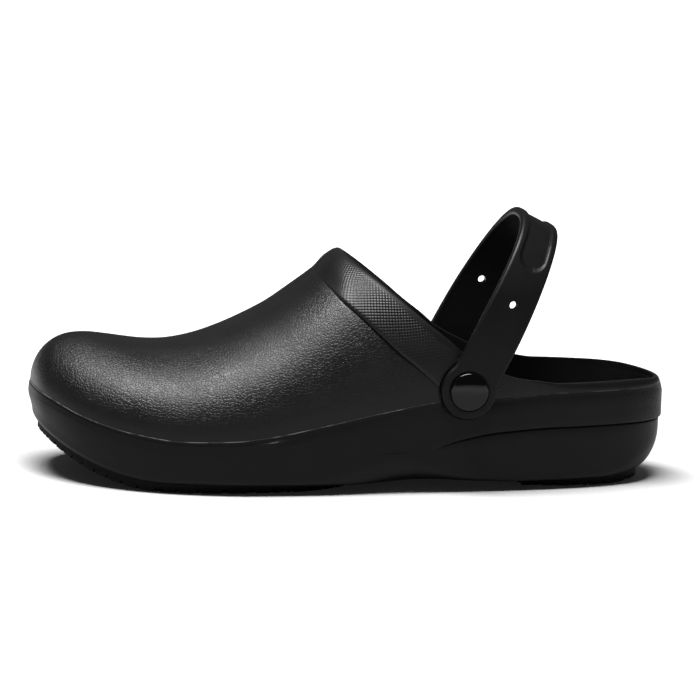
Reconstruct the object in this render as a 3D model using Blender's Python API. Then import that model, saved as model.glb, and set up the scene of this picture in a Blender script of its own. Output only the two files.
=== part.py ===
"""Left chef clog: foam upper and sole, insole, two rubber tread pads, heel strap and two rivets.

x runs from the toe to the heel, -Y is the outer side of the foot and z = 0 is the floor.
"""

import math

import bmesh
import bpy
import numpy as np

MM = 0.001
WELD = 0.001 * MM

# The shoe as a whole
LENGTH = 290 * MM
BALL_WIDTH = 108.4 * MM
INSTEP_RISE = 67 * MM
HEEL_LINE_HEIGHT = 44.4 * MM
WALL = 3.6 * MM
GAP = 0.3 * MM

# Toe and heel: how far the ridge starts behind each end, and how full the wall's section is
TOE_DEPTH = 22 * MM
HEEL_DEPTH = 36 * MM
FAN_LENGTH = 85 * MM
SECTION_POWER = 2.3
TOE_POWER = 2.0
TOE_POWER_LENGTH = 60 * MM

# The padded collar band
BAND_STEP = 1.6 * MM
BAND_DEPTH = 13 * MM
BAND_FADE_PAST_PIVOT = 17 * MM

# The sole's underside and side
SOLE_LIFT = 4 * MM
TOE_SPRING = 21 * MM
TOE_SPRING_LENGTH = 58 * MM
HEEL_SPRING = 4 * MM
HEEL_SPRING_LENGTH = 30 * MM
SIDE_TUCK = 0.8 * MM
CORNER_WIDTH = 3.5 * MM
CORNER_HEIGHT = 2.6 * MM
HEEL_CORNER_WIDTH = 12 * MM
HEEL_CORNER_HEIGHT = 16 * MM
HEEL_CORNER_LENGTH = 34 * MM
ARCH_CENTRE = 178 * MM
ARCH_LENGTH = 80 * MM
ARCH_UNDERCUT = 12 * MM
ARCH_RISE_CENTRE = 160 * MM
ARCH_RISE_LENGTH = 80 * MM
ARCH_RISE = 9.4 * MM
STEP_DEPTH = 1.1 * MM
STEP_START = 172 * MM
STEP_FADE = 30 * MM
STEP_GROOVE = 0.8 * MM

# The footbed and the insole on it
HEEL_THICKNESS = 18.5 * MM
CUP_ROUND = 4.5 * MM
INSOLE_THICKNESS = 4 * MM
INSOLE_CLEARANCE = 0.5 * MM

# Tread pads, inlaid in the underside
PAD_INLAY = 1.5 * MM
PAD_MARGIN = 5.5 * MM
PAD_START = 4.6 * MM
PAD_LENGTH = 140 * MM
HEEL_PAD_MARGIN = 7 * MM
HEEL_PAD_FROM_HEEL = 10 * MM
HEEL_PAD_LENGTH = 69 * MM
HEEL_PAD_SLANT = 10.5 * MM
LUG_LONG = 11.7 * MM
LUG_SHORT = 8.1 * MM
GROOVE_WIDTH = 1.7 * MM
GROOVE_DEPTH = 1.9 * MM
FOREFOOT_TURN = math.radians(4)
HEEL_TURN = math.radians(-9)

# Heel strap, its pivot and its rivets
PIVOT_FROM_HEEL = 98.9 * MM
PIVOT_ABOVE_LINE = 4.7 * MM
STRAP_LEAN = math.radians(64)
STRAP_REACH = 79 * MM
STRAP_POWER = 2.5
STRAP_WIDTH = 17.6 * MM
STRAP_ROOT_WIDTH = 20.4 * MM
STRAP_ROOT_LENGTH = 34 * MM
STRAP_THICKNESS = 4 * MM
STRAP_EDGE = 1.1 * MM
DISC_RADIUS = 12.4 * MM
SEAT_MARGIN = 1 * MM
BOSS_RADIUS = 7.5 * MM
BOSS_INSIDE = 1 * MM
ADJUST_HOLE_RADIUS = 2.4 * MM
ADJUST_HOLE_REACH = 42.5 * MM
PANEL_MARGIN = 3.4 * MM
PANEL_SLOPE = 0.4 * MM
PANEL_DEPTH = 0.8 * MM
PANEL_HALF_LENGTH = 52 * MM
PANEL_END = 6 * MM
SHANK_RADIUS = 3 * MM
CAP_RADIUS = 8.4 * MM
CAP_HEIGHT = 2.4 * MM
HEAD_RADIUS = 6.5 * MM
HEAD_HEIGHT = 1.6 * MM

# Number of stations from toe to collar and from collar to heel, of rows in the wall and so on
FRONT_STATIONS = 15
REAR_STATIONS = 20
VAMP_ROWS = 7
STRAP_STATIONS = 34
ROUND_SIDES = 20
PAD_POINTS = 14
BEND_ROWS = 8
DISC_END_TURNS = (20, 38, 56, 73, 88)

OUTER, INNER = -1, 1
SIDE_NAMES = {OUTER: "outer", INNER: "inner"}

# Sole outline, widest line: share of LENGTH, then outer and inner half width as shares of BALL_WIDTH
OUTLINE = (
    (0.000, 0.000, 0.000),
    (0.010, 0.189, 0.150),
    (0.030, 0.293, 0.234),
    (0.075, 0.422, 0.323),
    (0.140, 0.523, 0.375),
    (0.220, 0.586, 0.393),
    (0.300, 0.606, 0.393),
    (0.420, 0.577, 0.367),
    (0.550, 0.515, 0.323),
    (0.630, 0.481, 0.313),
    (0.730, 0.435, 0.327),
    (0.830, 0.369, 0.343),
    (0.900, 0.301, 0.322),
    (0.955, 0.223, 0.247),
    (0.988, 0.129, 0.138),
    (1.000, 0.000, 0.000),
)

# Ridge of the upper, also over the opening: share of LENGTH, and height over the sole line as a
# share of INSTEP_RISE
RIDGE = (
    (0.050, 0.401),
    (0.076, 0.454),
    (0.106, 0.487),
    (0.137, 0.498),
    (0.168, 0.500),
    (0.199, 0.511),
    (0.230, 0.533),
    (0.261, 0.567),
    (0.322, 0.665),
    (0.366, 0.743),
    (0.399, 0.820),
    (0.426, 0.885),
    (0.448, 0.939),
    (0.478, 1.001),
    (0.535, 1.040),
    (0.603, 1.045),
    (1.000, 1.025),
)

# Line between upper and sole: share of LENGTH and height as a share of HEEL_LINE_HEIGHT
SOLE_LINE = (
    (0.000, 0.885),
    (0.030, 0.804),
    (0.078, 0.685),
    (0.150, 0.577),
    (0.224, 0.529),
    (0.299, 0.545),
    (0.349, 0.583),
    (0.457, 0.725),
    (0.547, 0.845),
    (0.616, 0.921),
    (0.709, 0.948),
    (0.810, 0.995),
    (1.000, 1.000),
)

# Top edge of the collar and heel rim, and the crease under the collar band: share of LENGTH, and
# height over the sole line as a share of INSTEP_RISE
TOPLINE = (
    (0.478, 1.010),
    (0.516, 0.861),
    (0.561, 0.675),
    (0.600, 0.507),
    (0.629, 0.403),
    (0.648, 0.330),
    (0.712, 0.175),
    (0.740, 0.123),
    (0.778, 0.082),
    (0.814, 0.056),
    (0.938, 0.054),
    (1.000, 0.032),
)
CREASE = (
    (0.433, 0.916),
    (0.446, 0.848),
    (0.460, 0.771),
    (0.487, 0.655),
    (0.524, 0.482),
    (0.549, 0.367),
    (0.572, 0.272),
    (0.601, 0.147),
    (0.620, 0.077),
    (0.655, 0.032),
    (0.724, 0.027),
    (0.814, 0.021),
    (1.000, 0.012),
)

# Moulded line along the side of the sole, a real step from the arch back: shares of LENGTH
# and HEEL_LINE_HEIGHT
SIDE_STEP = (
    (0.000, 0.760),
    (0.050, 0.660),
    (0.100, 0.530),
    (0.200, 0.380),
    (0.350, 0.370),
    (0.500, 0.430),
    (0.600, 0.450),
    (0.650, 0.536),
    (0.715, 0.610),
    (0.812, 0.646),
    (1.000, 0.649),
)

# Foam under the foot: share of LENGTH and thickness as a share of HEEL_THICKNESS
BED = (
    (0.00, 0.33),
    (0.10, 0.36),
    (0.25, 0.46),
    (0.45, 0.60),
    (0.65, 0.86),
    (0.80, 1.00),
    (1.00, 0.92),
)

# Forefoot pad: share of PAD_LENGTH, then its outer and inner edge as shares of its greatest width
FOREFOOT_PAD = (
    (0.000, 0.005, -0.005),
    (0.015, 0.124, 0.104),
    (0.060, 0.277, 0.214),
    (0.130, 0.410, 0.280),
    (0.226, 0.520, 0.336),
    (0.347, 0.588, 0.364),
    (0.500, 0.612, 0.382),
    (0.670, 0.589, 0.359),
    (0.805, 0.545, 0.264),
    (0.905, 0.470, 0.136),
    (0.973, 0.370, -0.020),
    (1.000, 0.236, -0.236),
)

# Heel pad: share of HEEL_PAD_LENGTH, then its outer and inner edge as shares of its greatest width
HEEL_PAD = (
    (0.00, 0.510, 0.470),
    (0.30, 0.508, 0.492),
    (0.50, 0.475, 0.497),
    (0.70, 0.408, 0.440),
    (0.87, 0.300, 0.325),
    (0.97, 0.155, 0.170),
    (1.00, 0.000, 0.000),
)

# Rows of the collar band: share of the way up it, and how far it stands out as a share of BAND_STEP
BAND_ROWS = ((0.00, 0.0), (0.09, 0.8), (0.45, 1.0), (0.88, 0.7))


def curve(table, column, share):
    """Value of one column at a share, on a smooth curve through the rows that never overshoots."""
    places = [row[0] for row in table]
    values = [row[column] for row in table]
    share = min(max(share, places[0]), places[-1])
    rises = [(values[i + 1] - values[i]) / (places[i + 1] - places[i]) for i in range(len(table) - 1)]
    slopes = [rises[0]]
    for before, after in zip(rises, rises[1:]):
        turns = before * after <= 0
        slopes.append(0 if turns else 2 * before * after / (before + after))
    slopes.append(rises[-1])
    i = min(int(np.searchsorted(places, share, side="right")) - 1, len(rises) - 1)
    width = places[i + 1] - places[i]
    t = (share - places[i]) / width
    start = (1 + 2 * t) * (1 - t) ** 2 * values[i] + t * (1 - t) ** 2 * width * slopes[i]
    end = t * t * (3 - 2 * t) * values[i + 1] + t * t * (t - 1) * width * slopes[i + 1]
    return start + end


def by_turn(table):
    """The same table with each share as the angle of a half turn, so that its ends come out round."""
    return [(math.acos(1 - 2 * row[0]), *row[1:]) for row in table]


def ease(t):
    """Smooth change from 0 to 1."""
    t = min(max(t, 0.0), 1.0)
    return t * t * (3 - 2 * t)


def hump(x, centre, length):
    """1 at the centre and 0 from half the length away."""
    t = min(abs(x - centre) / (length / 2), 1.0)
    return math.cos(t * math.pi / 2) ** 2


def sole_line(x):
    return HEEL_LINE_HEIGHT * curve(SOLE_LINE, 1, x / LENGTH)


def ridge(x):
    return sole_line(x) + INSTEP_RISE * curve(RIDGE, 1, x / LENGTH)


def topline(x):
    return sole_line(x) + INSTEP_RISE * curve(TOPLINE, 1, x / LENGTH)


def crease(x):
    return sole_line(x) + INSTEP_RISE * curve(CREASE, 1, x / LENGTH)


def spring(x):
    """How far the underside has risen from its plane at a distance from the toe."""
    toe = max(1 - x / TOE_SPRING_LENGTH, 0)
    heel = max(1 - (LENGTH - x) / HEEL_SPRING_LENGTH, 0)
    return TOE_SPRING * toe**2 + HEEL_SPRING * heel**2


def underside(x):
    return SOLE_LIFT + spring(x)


def bed(x):
    """Height of the foam that the insole lies on."""
    return underside(x) + HEEL_THICKNESS * curve(BED, 1, x / LENGTH)


OUTLINE_BY_TURN = by_turn(OUTLINE)
PIVOT_X = LENGTH - PIVOT_FROM_HEEL
PIVOT_Z = sole_line(PIVOT_X) + PIVOT_ABOVE_LINE


def edge(x, side, inset=0.0):
    """Plan point of the sole's widest line, moved inwards by the inset, for the station at x."""
    turn = math.acos(1 - 2 * min(max(x / LENGTH, 0), 1))
    column = 1 if side == OUTER else 2
    small = 1e-4
    ends = []
    for angle in (max(turn - small, 0), min(turn + small, math.pi)):
        ends.append((LENGTH * (1 - math.cos(angle)) / 2, BALL_WIDTH * curve(OUTLINE_BY_TURN, column, angle)))
    tangent = np.subtract(ends[1], ends[0])
    tangent /= np.linalg.norm(tangent)
    width = BALL_WIDTH * curve(OUTLINE_BY_TURN, column, turn)
    if turn < small or turn > math.pi - small:
        tangent = np.array((0.0, 1.0 if turn < small else -1.0))
    return np.array((x + inset * tangent[1], side * (width - inset * tangent[0])))


def spine(x):
    """Where the rows of the station at x meet on the long axis. They fan out round toe and heel."""
    toe = TOE_DEPTH * max(1 - x / FAN_LENGTH, 0) ** 2
    heel = HEEL_DEPTH * max(1 - (LENGTH - x) / FAN_LENGTH, 0) ** 2
    return x + toe - heel


def wall_point(x, turn, side):
    """Point of the upper's outer surface: station x, and turn from 0 at the sole line to 1 on the ridge."""
    power = 2 / (TOE_POWER + (SECTION_POWER - TOE_POWER) * ease(x / TOE_POWER_LENGTH))
    level = math.cos(turn * math.pi / 2) ** power if turn < 1 else 0.0
    rise = math.sin(turn * math.pi / 2) ** power
    start = edge(x, side, SIDE_TUCK)
    top = spine(x)
    low = sole_line(x)
    along = top + (start[0] - top) * level
    return np.array((along, start[1] * level, low + (ridge(top) - low) * rise))


def wall_normal(x, turn, side):
    """Outward direction of the upper's outer surface."""
    small = 1e-3
    a, b = max(x - small, 0), min(x + small, LENGTH)
    c, d = max(turn - small, 0), min(turn + small, 1)
    along = wall_point(b, turn, side) - wall_point(a, turn, side)
    if x <= small or x >= LENGTH - small:
        along = np.array((0.0, side * (1.0 if x <= small else -1.0), 0.0))
    up = wall_point(x, d, side) - wall_point(x, c, side)
    normal = np.cross(along, up) * side * -1
    if turn >= 1:
        normal[1] = 0.0
    return normal / np.linalg.norm(normal)


def turn_at(x, side, height):
    """The turn at which the station's wall reaches a height that varies with x, by halving."""
    low, high = 0.0, 1.0
    for _ in range(40):
        middle = (low + high) / 2
        point = wall_point(x, middle, side)
        if point[2] < height(point[0]):
            low = middle
        else:
            high = middle
    return high


def band_start():
    """Station whose ridge point carries the front of the collar band."""
    return CREASE[0][0] * LENGTH


def band_fade(x):
    """1 on the collar and 0 behind the strap's pivot."""
    start = band_start()
    return 1 - ease((x - start) / (PIVOT_X + BAND_FADE_PAST_PIVOT - start))


def stations():
    """Distances from the toe, closer together at the toe, at the front of the collar and at the heel."""
    start = band_start()
    front = [start * (1 - math.cos(math.pi / 2 * i / FRONT_STATIONS)) for i in range(FRONT_STATIONS)]
    rest = LENGTH - start
    rear = [start + rest * (1 - math.cos(math.pi * i / REAR_STATIONS)) / 2 for i in range(REAR_STATIONS + 1)]
    return front, rear


def round_trip(front, rear):
    """The stations as a closed ring of (x, side): toe, outer side, heel, inner side and toe again."""
    every = front + rear
    return [(x, OUTER) for x in every] + [(x, INNER) for x in reversed(every)]


def vamp_rows(x, side):
    """Turns from the sole line up to the ridge, or to the crease under the collar band."""
    top = 1.0 if x <= band_start() else turn_at(x, side, crease)
    return [top * i / VAMP_ROWS for i in range(VAMP_ROWS + 1)]


def band_row(x, side, share):
    """Station and turn of a point a share of the way up the collar band."""
    foot = 1.0 if x <= band_start() else turn_at(x, side, crease)
    head_x = x + BAND_DEPTH * band_fade(x)
    head = 1.0 if x <= band_start() else turn_at(head_x, side, topline)
    return x + (head_x - x) * share, foot + (head - foot) * share


def standing_out(x, turn, side, distance):
    return wall_point(x, turn, side) + wall_normal(x, turn, side) * distance


def add_grid(mesh, columns):
    """Quads between neighbouring columns of points."""
    made = [[mesh.verts.new(point) for point in column] for column in columns]
    for left, right in zip(made, made[1:]):
        for i in range(len(left) - 1):
            mesh.faces.new((left[i], right[i], right[i + 1], left[i + 1]))


def as_object(mesh, name):
    """Turns the faces outwards and puts the mesh in the scene as an object."""
    bmesh.ops.recalc_face_normals(mesh, faces=mesh.faces)
    data = bpy.data.meshes.new(name)
    mesh.to_mesh(data)
    mesh.free()
    thing = bpy.data.objects.new(name, data)
    bpy.context.scene.collection.objects.link(thing)
    return thing


def finish_mesh(mesh, name, material, angle=40):
    """Welds what meets and makes the smooth-shaded object with its material."""
    bmesh.ops.remove_doubles(mesh, verts=mesh.verts, dist=WELD)
    bmesh.ops.dissolve_degenerate(mesh, edges=mesh.edges, dist=WELD)
    bmesh.ops.triangulate(mesh, faces=mesh.faces)
    thing = as_object(mesh, name)
    thing.data.materials.append(material)
    thing.data.shade_smooth()
    thing.data.set_sharp_from_angle(angle=math.radians(angle))
    return thing


def make_material(name, colour, roughness):
    material = bpy.data.materials.new(name)
    material.use_nodes = True
    shader = material.node_tree.nodes["Principled BSDF"]
    shader.inputs["Base Color"].default_value = (*colour, 1)
    shader.inputs["Roughness"].default_value = roughness
    shader.inputs["Metallic"].default_value = 0
    return material


def cut(thing, cutter, operation="DIFFERENCE"):
    """One Boolean with a helper object, which stays out of the build."""
    cutter.hide_render = True
    cutter.display_type = "WIRE"
    step = thing.modifiers.new(cutter.name, "BOOLEAN")
    step.operation = operation
    step.object = cutter
    step.solver = "EXACT"


def cross_cylinder(name, x, z, radius, near, far):
    """Closed cylinder along Y between two values of y."""
    mesh = bmesh.new()
    rings = []
    for y in (near, far):
        ring = []
        for i in range(ROUND_SIDES):
            angle = 2 * math.pi * i / ROUND_SIDES
            ring.append(mesh.verts.new((x + radius * math.cos(angle), y, z + radius * math.sin(angle))))
        rings.append(ring)
    for i in range(ROUND_SIDES):
        j = (i + 1) % ROUND_SIDES
        mesh.faces.new((rings[0][i], rings[0][j], rings[1][j], rings[1][i]))
    mesh.faces.new(rings[0])
    mesh.faces.new(rings[1])
    return as_object(mesh, name)


def seat(side):
    """Distance from the long axis of the flat that the strap's disc turns on.

    The strap's leg clears the rim above, looked at along and across the leg in shares of the disc's radius.
    """
    widest = 0.0
    for reach in (0.9, 1.2, 1.5):
        for across in (-0.8, 0.0, 0.8):
            x = PIVOT_X + DISC_RADIUS * (reach * math.cos(STRAP_LEAN) + across * math.sin(STRAP_LEAN))
            z = PIVOT_Z + DISC_RADIUS * (reach * math.sin(STRAP_LEAN) - across * math.cos(STRAP_LEAN))
            turn = turn_at(x, side, lambda along: min(z, topline(along)))
            rim = abs(wall_point(x, turn, side)[1]) + BAND_STEP * band_fade(x)
            widest = max(widest, rim)
    return widest


def inner_wall(side):
    """Distance from the long axis of the upper's inner surface at the pivot."""
    turn = turn_at(PIVOT_X, side, lambda _: PIVOT_Z)
    return abs(wall_point(PIVOT_X, turn, side)[1]) - WALL


def make_upper(material):
    """Hollow shell above the sole line: vamp, padded collar band and low heel rim."""
    front, rear = stations()
    mesh = bmesh.new()
    outer, inner, foot = [], [], []
    for x, side in round_trip(front, rear):
        turns = vamp_rows(x, side)
        outside = [wall_point(x, turn, side) for turn in turns]
        inside = [standing_out(x, turn, side, -WALL) for turn in turns]
        outside[0][2] += GAP / 2
        inside[0][2] = outside[0][2]
        outer.append(outside)
        inner.append(inside)
        foot.append([outside[0], inside[0]])
    add_grid(mesh, outer)
    add_grid(mesh, inner)
    add_grid(mesh, foot)
    band = []
    for x, side in round_trip([], rear):
        step = BAND_STEP * band_fade(x)
        column = [standing_out(*band_row(x, side, up), side, step * out) for up, out in BAND_ROWS]
        column.append(standing_out(*band_row(x, side, 1.0), side, (step - WALL) / 2))
        column += [standing_out(*band_row(x, side, up), side, -WALL) for up, _ in reversed(BAND_ROWS)]
        band.append(column)
    add_grid(mesh, band)
    upper = finish_mesh(mesh, "upper", material)
    for side in (OUTER, INNER):
        name = SIDE_NAMES[side]
        reach = side * (inner_wall(side) - BOSS_INSIDE)
        face = side * seat(side)
        boss = cross_cylinder(f"{name}_boss", PIVOT_X, PIVOT_Z, BOSS_RADIUS, reach, face + side * MM)
        cut(upper, boss, "UNION")
        cut(upper, seat_cutter(f"{name}_seat_in_upper", side))
        hole = cross_cylinder(
            f"{name}_rivet_hole", PIVOT_X, PIVOT_Z, SHANK_RADIUS + GAP, reach - side * MM, face + side * MM
        )
        cut(upper, hole)
    return upper


def seat_cutter(name, side):
    """Clears the flat round seat of the strap's disc from the outside."""
    face = side * seat(side)
    radius = DISC_RADIUS + SEAT_MARGIN
    return cross_cylinder(name, PIVOT_X, PIVOT_Z, radius, face, face + side * 4 * WALL)


def corner(x, side):
    """Width and height of the rounded lower edge of the sole."""
    arch = hump(x, ARCH_CENTRE, ARCH_LENGTH)
    rise = hump(x, ARCH_RISE_CENTRE, ARCH_RISE_LENGTH)
    back = max(1 - (LENGTH - x) / HEEL_CORNER_LENGTH, 0) ** 1.5
    width = CORNER_WIDTH + ARCH_UNDERCUT * arch + (HEEL_CORNER_WIDTH - CORNER_WIDTH) * back
    height = CORNER_HEIGHT + ARCH_RISE * rise + (HEEL_CORNER_HEIGHT - CORNER_HEIGHT) * back
    return width, height


def inward(x, side, inset, share):
    """Plan point between the inset edge of the station and its spine point."""
    start = edge(x, side, inset)
    return start + (np.array((spine(x), 0.0)) - start) * share


def sole_column(x, side):
    """The sole's section at one station, from the spine underneath, round the side and in to the footbed."""
    width, height = corner(x, side)
    low = underside(x) + height
    top = sole_line(x) - GAP / 2
    step_height = HEEL_LINE_HEIGHT * curve(SIDE_STEP, 1, x / LENGTH)
    step = STEP_DEPTH * ease((x - STEP_START) / STEP_FADE)
    points = []
    for share in (1.0, 0.5):
        plan = inward(x, side, width, share)
        points.append((*plan, underside(plan[0])))
    for angle in (0, 30, 60, 90):
        a = math.radians(angle)
        inset = width - (width - step) * math.sin(a)
        plan = edge(x, side, inset)
        points.append((*plan, underside(plan[0]) + height * (1 - math.cos(a))))
    side_rows = (
        (step, (low + step_height) / 2),
        (step, step_height - STEP_GROOVE / 2),
        (0.0, step_height + STEP_GROOVE / 2),
        (0.2 * SIDE_TUCK, (step_height + top) / 2),
        (SIDE_TUCK, top),
        (SIDE_TUCK + WALL, top),
    )
    for inset, z in side_rows:
        points.append((*edge(x, side, inset), z))
    for inset, z in cup_rows(x):
        points.append((*edge(x, side, inset), z))
    for share in (0.5, 1.0):
        plan = inward(x, side, cup_rows(x)[-1][0], share)
        points.append((*plan, bed(plan[0])))
    return [np.array(point) for point in points]


def cup_rows(x):
    """Inset and height of the cup's inner wall, from its side down to the footbed."""
    base = SIDE_TUCK + WALL
    floor = bed(x)
    height = min(CUP_ROUND, 0.8 * (sole_line(x) - floor))
    return (
        (base + 0.15 * CUP_ROUND, floor + height),
        (base + 0.5 * CUP_ROUND, floor + 0.35 * height),
        (base + 1.1 * CUP_ROUND, floor),
    )


def make_sole(material):
    """Cup sole below the sole line, with arch, side step, toe spring and the inlays for both treads."""
    mesh = bmesh.new()
    add_grid(mesh, [sole_column(x, side) for x, side in round_trip(*stations())])
    sole = finish_mesh(mesh, "sole", material)
    for side in (OUTER, INNER):
        name = SIDE_NAMES[side]
        reach = side * (inner_wall(side) - BOSS_INSIDE)
        room = cross_cylinder(
            f"{name}_boss_room",
            PIVOT_X,
            PIVOT_Z,
            BOSS_RADIUS + GAP,
            reach - side * 4 * MM,
            side * (seat(side) + 4 * WALL),
        )
        cut(sole, room)
        cut(sole, seat_cutter(f"{name}_seat_in_sole", side))
    return sole


def make_insole(material):
    """Loose footbed that fills the cup's floor."""
    mesh = bmesh.new()
    columns = []
    for x, side in round_trip(*stations()):
        wall_foot, wall_mid, floor_edge = (row[0] + INSOLE_CLEARANCE for row in cup_rows(x))
        floor = bed(x) + GAP
        points = []
        for share in (1.0, 0.5):
            plan = inward(x, side, floor_edge, share)
            points.append((*plan, bed(plan[0]) + GAP))
        points.append((*edge(x, side, floor_edge), floor))
        points.append((*edge(x, side, wall_mid + 0.2 * MM), floor + 0.4 * INSOLE_THICKNESS))
        points.append((*edge(x, side, wall_foot + 0.6 * MM), floor + INSOLE_THICKNESS))
        for share in (0.35, 1.0):
            plan = inward(x, side, floor_edge, share)
            points.append((*plan, bed(plan[0]) + GAP + INSOLE_THICKNESS))
        columns.append([np.array(point) for point in points])
    add_grid(mesh, columns)
    return finish_mesh(mesh, "insole", material)


def pad_outline(table, start, length, width, slant, grow):
    """Closed plan outline of a tread pad, anticlockwise seen from above."""
    turns = by_turn(table) if slant == 0 else table
    last = turns[-1][0]
    ring = []
    for column, side in ((1, OUTER), (2, INNER)):
        run = []
        for i in range(PAD_POINTS + 1):
            if slant == 0:
                place = last * i / PAD_POINTS
                share = (1 - math.cos(place)) / 2
            else:
                place = math.sin(math.pi / 2 * i / PAD_POINTS)
                share = place
            y = side * width * curve(turns, column, place)
            x = start + length * share
            if slant:
                x += slant * (0.5 - y / width) * (1 - share)
            run.append(np.array((x, y)))
        ring += run if side == OUTER else list(reversed(run))
    clean = [p for p, q in zip(ring, ring[1:] + ring[:1]) if np.linalg.norm(p - q) > 0.5 * MM]
    grown = []
    for before, here, after in zip(clean[-1:] + clean[:-1], clean, clean[1:] + clean[:1]):
        first, second = here - before, after - here
        normal = np.array((first[1], -first[0])) / np.linalg.norm(first)
        normal = normal + np.array((second[1], -second[0])) / np.linalg.norm(second)
        grown.append(here + grow * 2 * normal / np.dot(normal, normal))
    return grown


def prism(name, outline, low, high, bend_rows=0):
    """Closed upright prism over a plan outline."""
    mesh = bmesh.new()
    bottom = [mesh.verts.new((*point, low)) for point in outline]
    top = [mesh.verts.new((*point, high)) for point in outline]
    for i in range(len(outline)):
        j = (i + 1) % len(outline)
        mesh.faces.new((bottom[i], bottom[j], top[j], top[i]))
    mesh.faces.new(bottom)
    mesh.faces.new(top)
    for i in range(1, bend_rows):
        place = TOE_SPRING_LENGTH * i / bend_rows
        parts = mesh.verts[:] + mesh.edges[:] + mesh.faces[:]
        bmesh.ops.bisect_plane(mesh, geom=parts, plane_co=(place, 0, 0), plane_no=(1, 0, 0))
    return as_object(mesh, name)


def lug_block(name, centre, reach, turn):
    """Slab whose underside is a lattice of rhombic lugs between V grooves."""
    mesh = bmesh.new()
    steps = int(reach / LUG_SHORT) + 2
    shrink = 1 - GROOVE_WIDTH / (LUG_LONG * LUG_SHORT / math.hypot(LUG_LONG, LUG_SHORT))
    along = np.array((math.cos(turn), math.sin(turn)))
    across = np.array((-math.sin(turn), math.cos(turn)))
    first = (along * LUG_LONG + across * LUG_SHORT) / 2
    second = (along * LUG_LONG - across * LUG_SHORT) / 2
    top = SOLE_LIFT + PAD_INLAY - GAP

    def vertex(place, z):
        return mesh.verts.new((*(centre + place), z))

    roots = {}
    for i in range(-steps, steps + 1):
        for j in range(-steps, steps + 1):
            roots[i, j] = vertex(first * (i - 0.5) + second * (j - 0.5), GROOVE_DEPTH)
    for i in range(-steps, steps):
        for j in range(-steps, steps):
            middle = first * i + second * j
            corners = [roots[i, j], roots[i + 1, j], roots[i + 1, j + 1], roots[i, j + 1]]
            offsets = [-first - second, first - second, first + second, second - first]
            lug = [vertex(middle + offset * shrink / 2, 0.0) for offset in offsets]
            mesh.faces.new(lug)
            for k in range(4):
                m = (k + 1) % 4
                mesh.faces.new((corners[k], corners[m], lug[m], lug[k]))
    rim = [roots[i, -steps] for i in range(-steps, steps)]
    rim += [roots[steps, j] for j in range(-steps, steps)]
    rim += [roots[i, steps] for i in range(steps, -steps, -1)]
    rim += [roots[-steps, j] for j in range(steps, -steps, -1)]
    lid = [mesh.verts.new((*root.co.xy, top)) for root in rim]
    for i in range(len(rim)):
        j = (i + 1) % len(rim)
        mesh.faces.new((rim[i], rim[j], lid[j], lid[i]))
    mesh.faces.new(lid)
    return as_object(mesh, name)


def make_tread(name, outline, turn, material, bend_rows):
    """Rubber pad: the outline's prism with lugs, bent up with the sole."""
    centre = np.mean(outline, axis=0)
    reach = max(np.linalg.norm(point - centre) for point in outline)
    block = lug_block(f"{name}_lattice", centre, reach, turn)
    outer = prism(f"{name}_outline", outline, -MM, SOLE_LIFT + PAD_INLAY + MM)
    cut(block, outer, "INTERSECT")
    graph = bpy.context.evaluated_depsgraph_get()
    mesh = bmesh.new()
    mesh.from_mesh(block.evaluated_get(graph).to_mesh())
    bpy.data.objects.remove(block)
    bpy.data.objects.remove(outer)
    top = SOLE_LIFT + PAD_INLAY - GAP
    for i in range(1, bend_rows):
        place = TOE_SPRING_LENGTH * i / bend_rows
        lid = [face for face in mesh.faces if all(vert.co.z > top - 0.01 * MM for vert in face.verts)]
        parts = set(lid) | {e for face in lid for e in face.edges} | {v for face in lid for v in face.verts}
        bmesh.ops.bisect_plane(mesh, geom=list(parts), plane_co=(place, 0, 0), plane_no=(1, 0, 0))
    bmesh.ops.triangulate(mesh, faces=mesh.faces)
    for vert in mesh.verts:
        vert.co.z += spring(vert.co.x)
    return finish_mesh(mesh, name, material, 20)


def strap_frame():
    """Directions of the strap's plane: out along its reach, and across its width towards the heel."""
    reach = np.array((math.cos(STRAP_LEAN), 0, math.sin(STRAP_LEAN)))
    width = np.array((math.sin(STRAP_LEAN), 0, -math.cos(STRAP_LEAN)))
    return reach, width


def strap_path():
    """Middle line of the strap as (y, reach) from the outer pivot over the top to the inner pivot."""
    outer_y = -(seat(OUTER) + GAP + STRAP_THICKNESS / 2)
    inner_y = seat(INNER) + GAP + STRAP_THICKNESS / 2
    middle, half = (outer_y + inner_y) / 2, (inner_y - outer_y) / 2
    power = 2 / STRAP_POWER
    path = []
    for i in range(STRAP_STATIONS + 1):
        angle = math.pi * i / STRAP_STATIONS
        y = -math.copysign(abs(math.cos(angle)) ** power, math.cos(angle))
        path.append(np.array((middle + half * y, STRAP_REACH * math.sin(angle) ** power)))
    return path


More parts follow.
